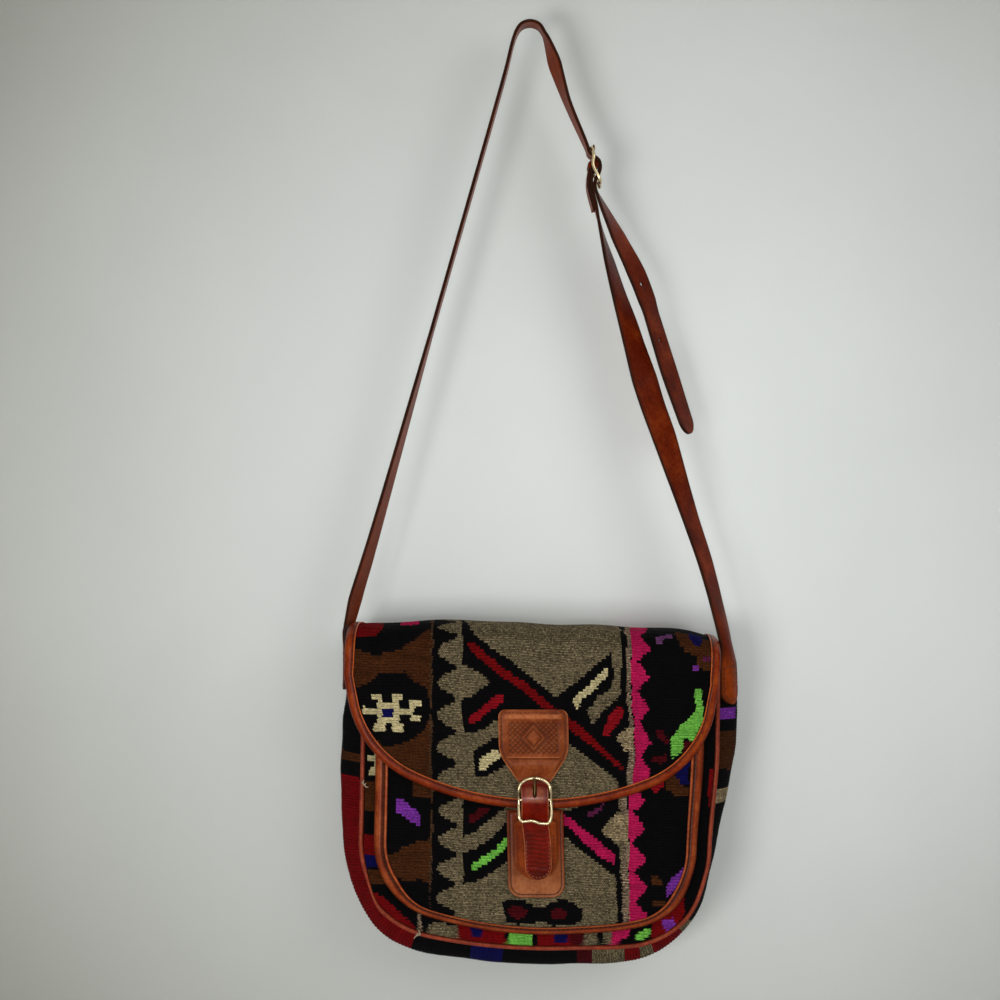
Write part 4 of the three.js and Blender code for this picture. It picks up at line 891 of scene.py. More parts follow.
tan_thread = thread("tan_thread", (92, 44, 24), (176, 120, 84))

# Woven panels

LOW_HALF = 8.0  # half-width of the lowest row of a sheet
FLAP_WAVES, POCKET_WAVES, GUSSET_WAVES = 0.9, 0.8, 0.9  # height of the slow unevenness
BINDING_START = 0.1 * math.pi  # turn of the fold from which its ends are bound
WORN_SAG = 1.5  # how much more the gusset sags than as sewn
EDGE_SPACING = 2.0  # between the stations of bindings and piping
POCKET_NARROWING = 0.42  # how much narrower the pocket's binding is along the bottom


def shares(half):
    return np.linspace(-1, 1, 2 * round(half / WARP) + 1)


def waves(x, s):
    """Slow unevenness of hand-woven cloth, from 0 to 1."""
    return 0.5 + 0.25 * np.sin(x / 17 + 0.8) * np.sin(s / 23 + 1.1) + 0.25 * np.sin(x / 41 - s / 31)


flap_cloth_u = inset(flap_u, BINDING_INSET)


def low_row(u):
    """Height of the lowest row, where the U is still a little wide."""
    return u.bow_height - math.sqrt(u.bow**2 - LOW_HALF**2)


# Ends of the sheet, as distances along it from the crest of the fold
S_BACK = -(QUARTER + (-FOLD_RISE - low_row(back_u)))
S_FLAP = QUARTER + (-FOLD_RISE - low_row(flap_cloth_u))


def turn_at(s):
    return np.interp(s, fold_arc, fold_turns)


def back_z(s):
    return -FOLD_RISE + QUARTER + np.minimum(s, -QUARTER)


def flap_z(s):
    return -FOLD_RISE + QUARTER - np.maximum(s, QUARTER)


def main_half(s):
    s = np.asarray(s, float)
    turn = turn_at(s)
    over = lerp(back_u.half, flap_u.top_half, turn / math.pi)
    over = over - BINDING_INSET * smoothstep(turn, 0, BINDING_START)
    back, front = half_at(back_u, back_z(s)), half_at(flap_cloth_u, flap_z(s))
    return np.where(s < -QUARTER, back, np.where(s > QUARTER, front, over))


def main_at(share, s, m):
    """Points of the back, the fold and the flap; waves are left out at the edges and under the tab."""
    x = share * main_half(s)
    at_tab = (1 - smoothstep(np.abs(x), 26, 36)) * smoothstep(s, 60, 75)
    off_edge = (smoothstep(main_half(s) - np.abs(x), 4, 16) * smoothstep(S_FLAP - s, 5, 18)
                * smoothstep(s, -QUARTER - 10, -QUARTER + 20))
    m = m + FLAP_WAVES * waves(x, s) * off_edge * (1 - at_tab) * smoothstep(np.abs(s), 8, 36)
    back, front = back_point(x, back_z(s), m), flap_point(x, flap_z(s), m)
    over = fold_point(x, turn_at(s) + 0 * x, m)
    s3 = (s + 0 * x)[..., None]
    return np.where(s3 < -QUARTER, back, np.where(s3 > QUARTER, front, over))


main_rows = np.concatenate([ribbed(S_BACK, -QUARTER, 2)[:-1], ribbed(-QUARTER, S_FLAP, 3)])
back_and_flap = cloth("kilim_back_and_flap", main_rows, shares(BODY_HALF), main_at, flap_yarn, main_half,
                      ["back_and_flap"])

front_cloth = cloth("kilim_front_panel", ribbed(MOUTH_DROP, -low_row(body_u), 2), shares(BODY_HALF),
                    lambda share, s, m: front_point(share * half_at(body_u, -s), -s, m), front_yarn,
                    lambda s: half_at(body_u, -s), ["front_panel"])

pocket_cloth_u = inset(pocket_u, BINDING_INSET)


def pocket_at(share, s, m):
    x = share * half_at(pocket_cloth_u, -s)
    inside_edge = depth_inside(pocket_cloth_u, x, -s + 0 * x)
    under = smoothstep(s, 118, 132) * smoothstep(inside_edge, 9, 20) * smoothstep(np.abs(x), 22, 34)
    return pocket_point(x, -s + 0 * x, m + POCKET_WAVES * waves(x + 30, s) * under)


pocket_cloth = cloth("kilim_pocket", ribbed(-pocket_u.top, -low_row(pocket_cloth_u), 3),
                     shares(pocket_cloth_u.half), pocket_at, pocket_yarn,
                     lambda s: half_at(pocket_cloth_u, -s), ["pocket_panel"])

# The gusset runs along the U with its ribs across
GUSSET_REACH = BODY_DEPTH / 2 - CLOTH - GAP
u_points = u_path(body_u, 0.5)
u_arc = np.concatenate([[0], np.cumsum(np.hypot(*np.diff(u_points[:, :2], axis=0).T))])


def gusset_bulge(z, x, nz=0.0):
    """How far the gusset bows out, by height: fuller on the right, and with its sag along the bottom."""
    down = -np.asarray(z, float)
    left = eased(down, [24, 55, 70, 92, 106, 145, 170, 188, 203, 213],
                 [9.8, 9.8, 12.4, 13, 13.4, 10.8, 10.6, 13.8, 16.6, 13.6])
    right = eased(down, [24, 40, 55, 80, 118, 158, 200], [16, 17.4, 18.2, 17.5, 13, 7.5, 10.5])
    return lerp(left, right, smoothstep(x, 40, 100)) + (GUSSET_SAG + WORN_SAG) * nz**4


def gusset_at(share, s, m):
    x, z, nx, nz = (np.interp(s, u_arc, u_points[:, k]) for k in range(4))
    off_middle = smoothstep(np.abs(s - u_arc[-1] / 2), 0, 30)
    slack = GUSSET_WAVES * (waves(3 * s, 40 * share) - 0.5) * (1 - share**2) * off_middle
    sewn = smoothstep(np.minimum(s, u_arc[-1] - s), 34, 60)
    n = gusset_bulge(z, x, nz) * (1 - share**2) + slack * sewn + m - CLOTH / 2
    return xyz(x + nx * n, share * GUSSET_REACH + 0 * n, z + nz * n)


gusset_cloth = cloth("kilim_gusset", ribbed(0, u_arc[-1], 3), shares(GUSSET_REACH), gusset_at, gusset_yarn,
                     lambda s: np.full(np.shape(s), GUSSET_REACH), ["gusset"], along=True)

# Leather bindings and piping


def station_points(path, point, section, n=None):
    """Section points (n outwards, m off the cloth) carried along a U; n may change along it."""
    n, m = section[None, :, 0] if n is None else n, section[None, :, 1]
    x, z, nx, nz = (path[:, k][:, None] for k in range(4))
    return point(x + nx * n, z + nz * n, m + 0 * n)


def binding_section(face):
    """Closed section of a folded strip from its front face; its back mirrors that, round the cloth's slot."""
    face = np.asarray(face, float)
    width, slot = -face[0, 0], CLOTH / 2 + GAP
    back = face[:-1][::-1] * [1, -1, 1, 1]
    inner = np.array([[-width, -slot, 0, 1], [-BINDING_LEATHER, -slot, 0, 0], [-BINDING_LEATHER, slot, 0, 0],
                      [-width, slot, 0, 1]])
    return np.concatenate([face, back, inner])


# n, m, dark share and pale share. The dark share is painted shade in the stitch groove, and darker at the
# edges; the pale share is the flap binding's pale cut edge, and painted highlights on the crowns of the rolls
FLAP_FACE_SECTION = [
    (-6.7, 2.25, 0, 1), (-6.5, 2.5, 0, 0.9), (-6.1, 2.6, 0.1, 0.3), (-5.75, 2.45, 0.6, 0),
    (-5.4, 2.25, 1, 0), (-5.05, 2.42, 0.6, 0), (-4.6, 2.66, 0.15, 0), (-3.9, 2.8, 0, 0),
    (-3.1, 2.8, 0, 0.12), (-2.3, 2.7, 0, 0.1), (-1.5, 2.4, 0, 0), (-0.8, 1.9, 0.1, 0),
    (-0.3, 1.15, 0.3, 0), (0, 0, 0.4, 0)]
POCKET_FACE_SECTION = [
    (-9, 2.2, 0.5, 0), (-8.85, 2.5, 0.2, 0), (-8.4, 2.75, 0, 0.2), (-7.9, 2.8, 0, 0.45),
    (-7.4, 2.68, 0.2, 0.1), (-6.9, 2.4, 0.8, 0), (-6.5, 2.1, 1, 0), (-6.1, 1.95, 1, 0),
    (-5.7, 2.15, 1, 0), (-5.2, 2.5, 0.6, 0), (-4.5, 2.72, 0.1, 0), (-3.6, 2.8, 0, 0.1),
    (-2.6, 2.76, 0, 0.1), (-1.7, 2.5, 0.1, 0), (-0.9, 1.95, 0.35, 0), (-0.35, 1.2, 0.6, 0),
    (0, 0, 0.8, 0)]


def binding(name, rings, section, material, node):
    shell = Shell()
    add_loft(shell, hang(rings), edge=section[None, :, 2], raw=section[None, :, 3])
    piece(name, shell, material, replaces=[node])


fold_steps = np.linspace(BINDING_START, math.pi, 40, endpoint=False)
half_over = lerp(back_u.half, flap_u.top_half, fold_steps / math.pi)[:, None]
flap_path = u_path(flap_u, EDGE_SPACING)
pocket_path = u_path(pocket_u, EDGE_SPACING)
low_share = smoothstep(-pocket_path[:, 3], 0.55, 0.97)[:, None]


def flap_edge(section):
    """Section points carried over the fold's left end, round the flap and back over the right end."""
    n, m = section[None, :, 0], section[None, :, 1]
    left, right = (fold_point(side * (half_over + n), fold_steps[:, None], m) for side in (-1, 1))
    return np.concatenate([left, station_points(flap_path, flap_point, section), right[::-1]])


def pocket_edge(section):
    """The same round the pocket, narrower along the bottom."""
    n = section[None, :, 0]
    narrow = -1 + (n + 1) * np.where(n < -1, 1 - POCKET_NARROWING * low_share, 1)
    return station_points(pocket_path, pocket_point, section, narrow)


flap_section, pocket_section = binding_section(FLAP_FACE_SECTION), binding_section(POCKET_FACE_SECTION)
binding("flap_binding_leather", flap_edge(flap_section), flap_section, binding_leather, "flap_binding")
binding("pocket_binding_leather", pocket_edge(pocket_section), pocket_section, pocket_leather,
        "pocket_binding")

body_path = u_path(body_u, EDGE_SPACING)
for name, side in (("front_piping", -1), ("back_piping", 1)):
    a = np.linspace(0, 2 * math.pi, 14, endpoint=False)
    seam_y = side * (BODY_DEPTH / 2 - PIPING_RADIUS - GAP)
    section = np.stack([GAP + PIPING_RADIUS * (1 + np.cos(a)), PIPING_RADIUS * np.sin(a) + seam_y], -1)
    rings = station_points(body_path, lambda x, z, y: xyz(x, y, z), section)
    shell = Shell()
    # darker on the side tucked into the seam, painted shade; paler on the side that faces out of the bag
    add_loft(shell, hang(rings), edge=0.6 * (np.cos(a) < -0.3)[None, :],
             raw=0.35 * np.clip(np.cos(a - side * math.pi / 2), 0, 1)[None, :])
    piece(name + "_leather", shell, piping_leather, replaces=[name])

# Routes, bands and tubes

ROUTE_STEPS = 40  # points of a route from one control to the next
ROUND_STEPS = 12  # rows of a band towards a round end
EDGE_ROUND = 0.65  # rounding of the edges of a band
PRONG_SLOT, BAR_SLOT = 1.3, 1.7  # half-widths of the slots for a prong and for its eye on the bar
SLOT_TOP, SLOT_FOOT = 0.64, 0.14  # ends of a prong's slot, as shares of the buckle's reach


def smooth_line(controls, steps, closed=False):
    """A smooth curve through the controls (centripetal Catmull-Rom, as in the CAD)."""
    p = np.asarray(controls, float)
    w = np.linspace(0, 1, steps, endpoint=False)[:, None]
    parts = []
    for i in range(len(p) if closed else len(p) - 1):
        p1, p2 = p[i], p[(i + 1) % len(p)]
        p0 = p[i - 1] if closed or i else 2 * p[0] - p[1]
        p3 = p[(i + 2) % len(p)] if closed or i + 2 < len(p) else 2 * p[-1] - p[-2]
        d0, d1, d2 = (np.linalg.norm(b - a) ** 0.5 for a, b in ((p0, p1), (p1, p2), (p2, p3)))
        t1 = ((p1 - p0) / d0 - (p2 - p0) / (d0 + d1) + (p2 - p1) / d1) * d1
        t2 = ((p2 - p1) / d1 - (p3 - p1) / (d1 + d2) + (p3 - p2) / d2) * d1
        parts.append(p1 + t1 * w + (3 * (p2 - p1) - 2 * t1 - t2) * w**2 + (2 * (p1 - p2) + t1 + t2) * w**3)
    return np.concatenate(parts + ([] if closed else [p[-1:]]))


class Route:
    """A smooth line with one more value at each control."""

    def __init__(self, controls, values=None):
        self.line = smooth_line(controls, ROUTE_STEPS)
        self.arc = run_length(self.line)
        self.length = self.arc[-1]
        self.tangents = np.gradient(self.line, self.arc, axis=0)
        place = np.arange(len(self.line)) / ROUTE_STEPS
        self.values = np.interp(place, np.arange(len(controls)), values or [0.0] * len(controls))
        self.stops = self.arc[::ROUTE_STEPS]

    def at(self, distance):
        """Points, directions and values at distances along the route."""
        return (sampled(distance, self.arc, self.line), unit(sampled(distance, self.arc, self.tangents)),
                np.interp(distance, self.arc, self.values))


def spaced(length, spacing, finer=(), ends=(0.0, 0.0)):
    """Distances along a band: finer = (from, to, spacing) runs, and closer steps towards round ends."""
    keep = np.linspace(0, length, round(length / spacing) + 1)
    for low, high, step in finer:
        keep = keep[(keep < low - 0.3 * step) | (keep > high + 0.3 * step)]
        keep = np.sort(np.append(keep, np.linspace(low, high, max(2, round((high - low) / step) + 1))))
    for radius, place in ((ends[0], lambda d: d), (ends[1], lambda d: length - d)):
        if radius:
            turn = (np.arange(ROUND_STEPS) + 0.2) / ROUND_STEPS * math.pi / 2
            round_end = place(radius * (1 - np.cos(turn)))
            keep = keep[np.abs(keep - place(0.0)) > radius * 1.02]
            keep = np.sort(np.concatenate([keep, round_end]))
    return keep


def rounded(distance, radius):
    """Share of the full width at a distance from a round end."""
    if not radius:
        return np.ones_like(distance)
    return np.sqrt(np.clip(1 - (1 - np.clip(distance / radius, 0, 1)) ** 2, 1e-4, 1))


def opening(holes, distance):
    """Half-width of the hole that a row crosses, or 0. A hole is (from, to, radius)."""
    half = np.zeros(len(distance))
    for low, high, radius in holes:
        within = (distance > low - 1e-6) & (distance < high + 1e-6)
        end = np.minimum(distance - low, high - distance)
        half[within] = np.maximum(radius * rounded(end, radius), 0.1)[within]
    return half


def band_faces(gap, k):
    """Faces of a band with the walls of its holes, and the caps of its ends.

    A ring has k points on the face, four round each edge and k on the back; gap says which quads are open."""
    n, total = len(gap) + 1, 2 * k + 8
    quads = grid(n, total, wrap=True).reshape(n - 1, total, 4)
    keep = np.ones((n - 1, total), bool)
    keep[:, : k - 1] = ~gap
    keep[:, k + 4 : 2 * k + 3] = ~gap[:, ::-1]
    walls = []

    def add_wall(*ends):
        front = [i * total + j for i, j in ends]
        behind = [i * total + 2 * k + 3 - j for i, j in ends]
        walls.append(front + behind[::-1])

    for i, j in np.argwhere(gap):
        if not gap[i, j - 1]:
            add_wall((i + 1, j), (i, j))
        if not gap[i, j + 1]:
            add_wall((i, j + 1), (i + 1, j + 1))
        if i > 0 and not gap[i - 1, j]:
            add_wall((i, j), (i, j + 1))
        if i < n - 2 and not gap[i + 1, j]:
            add_wall((i + 1, j + 1), (i + 1, j))
    first, last = list(range(total)), [(n - 1) * total + j for j in range(total)]
    caps = [last]
    if gap[0].any():  # a slot that is open at the start leaves two tongues
        ja, jb = np.flatnonzero(gap[0])[[0, -1]] + [0, 1]
        caps += [first[jb : 2 * k + 4 - jb][::-1], (first[2 * k + 3 - ja :] + first[: ja + 1])[::-1]]
    else:
        caps.append(first[::-1])
    return np.concatenate([quads[keep], np.array(walls, int).reshape(-1, 4)]), caps


def band_dyes(a, flat, lift, tint, cut, painted_crest_highlight):
    """Dark and pale shares round a band: dye gathers at the edges, the tooled hollows are darker, and the
    ridges are painted paler, a painted highlight.
    """
    dark, pale = cut
    side, back = np.ones((len(a), 4)), 0.3 + 0 * a
    near = 1 - smoothstep(flat - np.abs(a), 0, 1.6)
    face = 0.5 * dark * near + np.clip(-1.6 * lift, 0, 0.85)
    edge = np.concatenate([face, dark * side, back, dark * side], 1)
    # painted highlight: the ridges of the tooling are paler
    painted_ridge_highlight = np.clip(1.3 * lift - 0.05, 0, 0.55) * (1 - tint)
    # painted highlight along the middle of the face, where asked
    painted_ridge_highlight = painted_ridge_highlight + painted_crest_highlight * (1 - smoothstep(np.abs(a) / flat, 0.5, 1))
    raw = np.concatenate([painted_ridge_highlight, pale * side * [1, 1, 0.6, 0], back, pale * side * [0, 0.6, 1, 1]], 1)
    return edge, raw


def add_band(shell, point, across, out, width, thickness, columns, distance, holes, rise=None, cup=0.0,
             slit=0.14, tint=0.0, cut=(0.9, 0.25), wax=0.0, painted_crest_highlight=0.0):
    """A leather band with rounded edges and real holes.

    columns are shares from -1 to 1 and slit the share of those that a hole takes; cut is how dark and how
    pale the cut edges are, and the last argument how much paler the face is painted along its middle, a
    painted highlight."""
    half = np.asarray(width) / 2
    r = np.minimum(min(EDGE_ROUND, 0.45 * thickness), 0.45 * half)[:, None]
    flat = half[:, None] - r
    hole = opening(holes, distance)[:, None]
    size = np.abs(columns)[None, :]
    solid = lerp(hole, flat, np.clip((size - slit) / (1 - slit), 0, 1))
    spread = np.where(size <= slit + 1e-9, size / slit * hole, solid)
    a = np.where(hole > 0, np.sign(columns)[None, :] * spread, columns[None, :] * flat)
    lift = 0 * a if rise is None else rise(a, distance[:, None])
    corner = np.array([[0.71, 0.29], [1.0, 1.0]])
    side_a = np.concatenate([flat + r * corner[:, 0], flat + r * corner[::-1, 0]], 1)
    side_h = np.concatenate([thickness / 2 - r * corner[:, 1], -thickness / 2 + r * corner[::-1, 1]], 1)
    offset = np.concatenate([a, side_a, a[:, ::-1], -side_a[:, ::-1]], 1)
    height = np.concatenate([thickness / 2 + lift, side_h, 0 * a - thickness / 2, side_h[:, ::-1]], 1)
    height = height - np.asarray(cup).reshape(-1, 1) * offset**2
    rings = (point[:, None, :] + across[:, None, :] * offset[..., None]
             + out[:, None, :] * height[..., None])
    open_rows = (hole[:-1] > 0) & (hole[1:] > 0)
    open_columns = np.abs((columns[:-1] + columns[1:]) / 2) < slit
    faces, caps = band_faces(open_rows & open_columns, len(columns))
    tint, wax, painted_crest_highlight = (np.broadcast_to(v, len(point))[:, None] for v in (tint, wax, painted_crest_highlight))
    edge, raw = band_dyes(a, flat, lift, tint, cut, painted_crest_highlight)
    total = offset.shape[1]
    shell.add(rings.reshape(-1, 3), faces, caps, edge=edge.ravel(), raw=raw.ravel(),
              tint=np.repeat(tint, total), wax=np.repeat(wax, total))


def add_tube(shell, line, radius, sides, closed=False, side=(0.0, -1.0, 0.0)):
    """A round tube along a line; radius may change along it."""
    ahead = unit(np.roll(line, -1, 0) - np.roll(line, 1, 0) if closed else np.gradient(line, axis=0))
    across = unit(np.cross(ahead, np.asarray(side, float)))
    up = np.cross(across, ahead)
    a = np.linspace(0, 2 * math.pi, sides, endpoint=False)[None, :, None]
    radius = np.broadcast_to(radius, len(line))[:, None, None]
    ring = across[:, None, :] * np.cos(a) + up[:, None, :] * np.sin(a)
    add_loft(shell, line[:, None, :] + radius * ring, closed)


def add_ring(shell, inner, outer, low, high, place):
    """A ring round the bar with rounded edges, from low to high along it."""
    r = 0.3 * min(outer - inner, high - low)
    turn = np.linspace(0, math.pi / 2, 4)
    section = []
    for sx, sr, start in ((1, 1, 0), (-1, 1, 1), (-1, -1, 2), (1, -1, 3)):
        cx, cr = (high - r if sx > 0 else low + r), (outer - r if sr > 0 else inner + r)
        angles = [t + start * math.pi / 2 for t in turn]
        section += [(cx + r * math.cos(t), cr + r * math.sin(t)) for t in angles]
    section = np.array(section)
    a = np.linspace(0, 2 * math.pi, 40, endpoint=False)[:, None]
    x, rad = section[None, :, 0], section[None, :, 1]
    rings = xyz(x + 0 * a, rad * np.cos(a), rad * np.sin(a))
    add_loft(shell, place(rings), closed=True)


def add_stitches(shell, line, normal, pitch, length, radius=0.3):
    """A row of thread stitches on a line, each dipping into the leather at its ends."""
    arc = run_length(line)
    count = int((arc[-1] - length) // pitch) + 1
    start = (arc[-1] - (count - 1) * pitch - length) / 2 + pitch * np.arange(count)
    t = np.array([0, 0.12, 0.35, 0.65, 0.88, 1.0])
    d = start[:, None] + length * t[None, :]
    p, up = sampled(d, arc, line), unit(sampled(d, arc, normal))
    across = np.cross(unit(np.gradient(p, axis=1)), up)
    lift = np.array([-0.25, 0.02, 0.13, 0.13, 0.02, -0.25])
    thick = radius * np.array([0.6, 0.95, 1, 1, 0.95, 0.6])
    a = np.linspace(0, 2 * math.pi, 6, endpoint=False)
    ring = across[..., None, :] * np.cos(a)[:, None] + up[..., None, :] * 0.8 * np.sin(a)[:, None]
    rings = (p + up * lift[:, None])[..., None, :] + thick[:, None, None] * ring
    # One stitch is six rings of six points, with its ends closed
    ends = [[3, 2, 1, 0], [5, 4, 3, 0], [30, 31, 32, 33], [30, 33, 34, 35]]
    one = np.concatenate([grid(6, 6, wrap=True), ends])
    quads = (one[None] + 36 * np.arange(count)[:, None, None]).reshape(-1, 4)
    shell.add(rings.reshape(-1, 3), quads, outward=False)


def mirrored(line):
    return np.concatenate([line, line[::-1] * [-1, 1, 1]])


def both_sides(half):
    """Columns of a band from those of its right half."""
    return np.concatenate([-half[:0:-1], half])


# Buckles: x along the bar, z towards the arch, -y to the front

EYE = BAR + BAR_PLAY + EYE_WALL
REST = FRAME_SET + WIRE + GAP + PRONG


def loop_radius(leather):
    return BAR + BAR_PLAY + leather


def direction(place, axis):
    """An axis of a buckle where the buckle is placed."""
    return place(np.array([axis]))[0] - place(np.zeros((1, 3)))[0]


def threaded(leather, loop, reach):
    """A band's way through a buckle: z along it and how far to the front, from the arch to the foot."""
    over = loop_radius(loop) + GAP + leather / 2
    arch = FRAME_SET - WIRE - GAP - leather / 2
    foot = FRAME_SET - WIRE - 1.4 - leather / 2
    climb = [(1, 0), (0.7, 0.04), (0.45, 0.5), (0.2, 0.93), (0, 1)]
    fall = [(0.28, 0.12), (0.5, 0.4), (0.66, 0.68), (0.82, 0.92), (1, 1)]
    return ([(z * reach, lerp(arch, over, t)) for z, t in climb]
            + [(-z * reach, lerp(over, foot, t)) for z, t in fall])


def add_eyes(shell, outer, half, place):
    """The two halves of a leather loop on the bar, beside the prong's eye."""
    for low, high in ((-half, -BAR_SLOT), (BAR_SLOT, half)):
        add_ring(shell, BAR + BAR_PLAY, outer, low, high, place)


def buckle_frame(name, strap_width, reach, place, body, node):
    """The wire frame, an arch with a wavy foot, and the bar across its middle."""
    half, shoulder = strap_width / 2 + 0.5 + WIRE, 0.46 * reach
    a = np.linspace(0, math.pi, 9)
    arch = np.stack([half * np.cos(a), shoulder + (reach - shoulder) * np.sin(a)], -1)
    foot = np.array([(-1, 0), (-1, -0.8), (-0.86, -0.95), (-0.2, -0.93), (0.35, -1.05), (0.84, -1.02),
                     (1, -0.8), (1, 0)])
    flat = np.concatenate([arch, foot * [half, reach]])
    controls = xyz(flat[:, 0], -FRAME_SET * smoothstep(np.abs(flat[:, 1]), 0, 7), flat[:, 1])
    front = direction(place, (0, -1.0, 0))
    shell = Shell()
    add_tube(shell, place(smooth_line(controls, 10, closed=True)), WIRE, 16, closed=True, side=front)
    bar = xyz(np.concatenate([[-half], np.linspace(-half + 0.4, half - 0.4, 9), [half]]), 0.0, 0.0)
    thick = np.array([0.7, *[1.0] * 9, 0.7]) * BAR
    add_tube(shell, place(bar), thick, 16, side=front)
    piece(name, shell, metal, body, [node])


def buckle_prong(name, reach, place, body, node):
    """The prong with its eye on the bar, bent up to rest on the arch."""
    low = EYE - PRONG
    rise = [(0.06, 0), (0.34, 0.15), (0.55, 0.3), (0.76, 0.58), (1, 1)]
    controls = [(0, -lerp(low, REST, t), z * reach) for z, t in rise] + [(0, -REST, reach + 1.7)]
    line = smooth_line(controls, 8)
    from_tip = np.linalg.norm(line - line[-1], axis=1)
    thick = PRONG * np.maximum(rounded(from_tip, 0.9), 0.25)
    shell = Shell()
    add_tube(shell, place(line), thick, 12, side=direction(place, (1.0, 0, 0)))
    add_ring(shell, BAR + BAR_PLAY, EYE, -EYE_WIDTH / 2, EYE_WIDTH / 2, place)
    piece(name, shell, dark_metal, body, [node])


# Closure in the middle of the flap

CLOSURE_LEFT, CLOSURE_DROP = 1.7, 115.0
CHAPE_LEATHER, CHAPE_NECK, CHAPE_ROUND = 1.5, 15.5, 14.0
CHAPE_RING = loop_radius(CHAPE_LEATHER)
CLOSURE_Y = FLAP_MIDDLE - BINDING_HALF - GAP - CHAPE_RING
PATCH_FACE = POCKET_FACE - GAP - 1.8
CHAPE_FLAT = CLOSURE_Y - PATCH_FACE + GAP + CHAPE_LEATHER
closure_thread = threaded(CLOSURE_LEATHER, CHAPE_LEATHER, CLOSURE_REACH)


def at_closure(p):
    """The closure hangs a little to the left of the middle, more so at its top."""
    p = np.asarray(p, float)
    left = MIDDLE_X - CLOSURE_LEFT - 0.02 * p[..., 2]
    return p + xyz(left, CLOSURE_Y, -FOLD_BELOW_CROWN - CLOSURE_DROP)


def closure_route(route):
    return Route([(0, -front, z) for z, front in route])


def closure_stations(route, distance):
    point, tangent, _ = route.at(distance)
    across = np.tile([1.0, 0, 0], (len(point), 1))
    return at_closure(point), across, -np.cross(across, tangent), point[:, 2]


def distance_to(route, z):
    return np.interp(-np.asarray(z, float), -route.line[:, 2], route.arc)


TAB_LENGTH, TAB_WIDTH, TAB_STRAIGHT, TAB_CORNER, TAIL = 59.0, 46.0, 24.0, 5.0, 53.0
TAIL_SHIFT = 1.4  # the tail below the buckle lies to the right of the chape's middle
TAB_SLIT = 0.16  # share of the tab's columns that its slot takes
FIELD_MIDDLE, LATTICE = 40.5, 3.4  # of the tooled field on the tab
RIBS_FROM, RIBS_TO, RIBS_PITCH = -21.5, -47.6, 2.9  # of the ribs on the tail


def tab_width(z):
    top = TAB_WIDTH - 2 * TAB_CORNER * (1 - rounded(TAB_LENGTH - z, TAB_CORNER))
    taper = eased(z, [10.0, 12.0, 13.5, 21.0, 26.7, 31.5, TAB_LENGTH - TAB_STRAIGHT],
                  [CLOSURE_WIDTH, 20.5, 23.6, 34.4, 41.8, 45.0, TAB_WIDTH], 1.2)
    return np.where(z > TAB_LENGTH - TAB_STRAIGHT, top, taper)


def tail_shift(z):
    return TAIL_SHIFT * smoothstep(-z, 14, 32)


on_flap = CLOSURE_Y - (FLAP_FACE - GAP - CLOSURE_LEATHER / 2)
on_chape = CHAPE_FLAT + CHAPE_LEATHER + GAP + CLOSURE_LEATHER / 2
tab_route = closure_route([
    (TAB_LENGTH, on_flap), (TAB_LENGTH - TAB_STRAIGHT, on_flap), (CLOSURE_REACH + 7, on_flap),
    *closure_thread, (-CLOSURE_REACH - 7, on_chape), (-TAIL, on_chape)])


def line_dip(distance, width):
    """A tooled line: 1 in its middle, 0 away from it."""
    return np.exp(-((distance / width) ** 2))


def lattice_line(w):
    """A tooled line at each whole number of w."""
    return line_dip(np.abs((w + 0.5) % 1 - 0.5) * LATTICE, 0.6)


def tab_tooling(a, z):
    """Height of the tooled work on the tab's face.

    A rolled top, a lattice field with a plain lozenge, a crease, a line inside the edge and tail ribs."""
    off = np.abs(a)
    rolled = (0.42 * smoothstep(z, 52.2, 53.4) * (1 - smoothstep(z, 55.4, 56.4))
              * (1 - smoothstep(off, 17.5, 19.5)))
    field = (smoothstep(z, 29.5, 30.3) * (1 - smoothstep(z, 50.6, 51.4))
             * (1 - smoothstep(off, 16.2, 17)))
    u, v = (a + z - FIELD_MIDDLE) / LATTICE, (a - z + FIELD_MIDDLE) / LATTICE
    lattice = np.maximum(lattice_line(u), lattice_line(v))
    ring = off / 9.0 + np.abs(z - FIELD_MIDDLE) / 9.8
    inner = np.maximum(line_dip((ring - 0.95) * 8, 0.7), line_dip((ring - 0.6) * 8, 0.7))
    work = np.where(ring < 1.02, inner, lattice)
    crease = 0.5 * line_dip(z - 27.6, 0.45) - 0.4 * line_dip(z - 26.5, 0.6)
    crease = crease * (1 - smoothstep(off, 16, 18))
    border = 0.25 * line_dip(tab_width(z) / 2 - off - 2.0, 0.55) * smoothstep(z, 16, 20)
    bent = z - RIBS_FROM + 0.5 * np.sin(a / 2.6)
    ribs = np.cos(bent / RIBS_PITCH * 2 * math.pi + math.pi)
    ribs = np.where((z < RIBS_FROM) & (z > RIBS_TO), ribs, -1)
    ribs = 0.36 * ribs * (1 - smoothstep(off, 5.4, 7.2)) * smoothstep(-z, 20, 22)
    return rolled - 0.5 * field * work + crease - border + ribs


slot_ends = distance_to(tab_route, [SLOT_TOP * CLOSURE_REACH, SLOT_FOOT * CLOSURE_REACH])
tab_columns = both_sides(np.concatenate([np.linspace(0, TAB_SLIT, 6), np.linspace(TAB_SLIT, 1, 31)[1:]]))
distance = spaced(tab_route.length, 0.6, [(0.05, 34, 0.5), (*slot_ends, 0.45)], (0.0, CLOSURE_WIDTH / 2))
top_rows = 0.04 + 1.4 * np.array([0.0, 0.06, 0.2])
distance = np.sort(np.concatenate([distance[distance > 0.04], top_rows]))
point, across, out, z = closure_stations(tab_route, distance)
point[:, 0] += tail_shift(z)
width = tab_width(z) * rounded(tab_route.length - distance, CLOSURE_WIDTH / 2)
loop_face = smoothstep(z, -2.2, 0.3) * (1 - smoothstep(z, 5, 10))  # where the tab bends over the bar
shell = Shell()
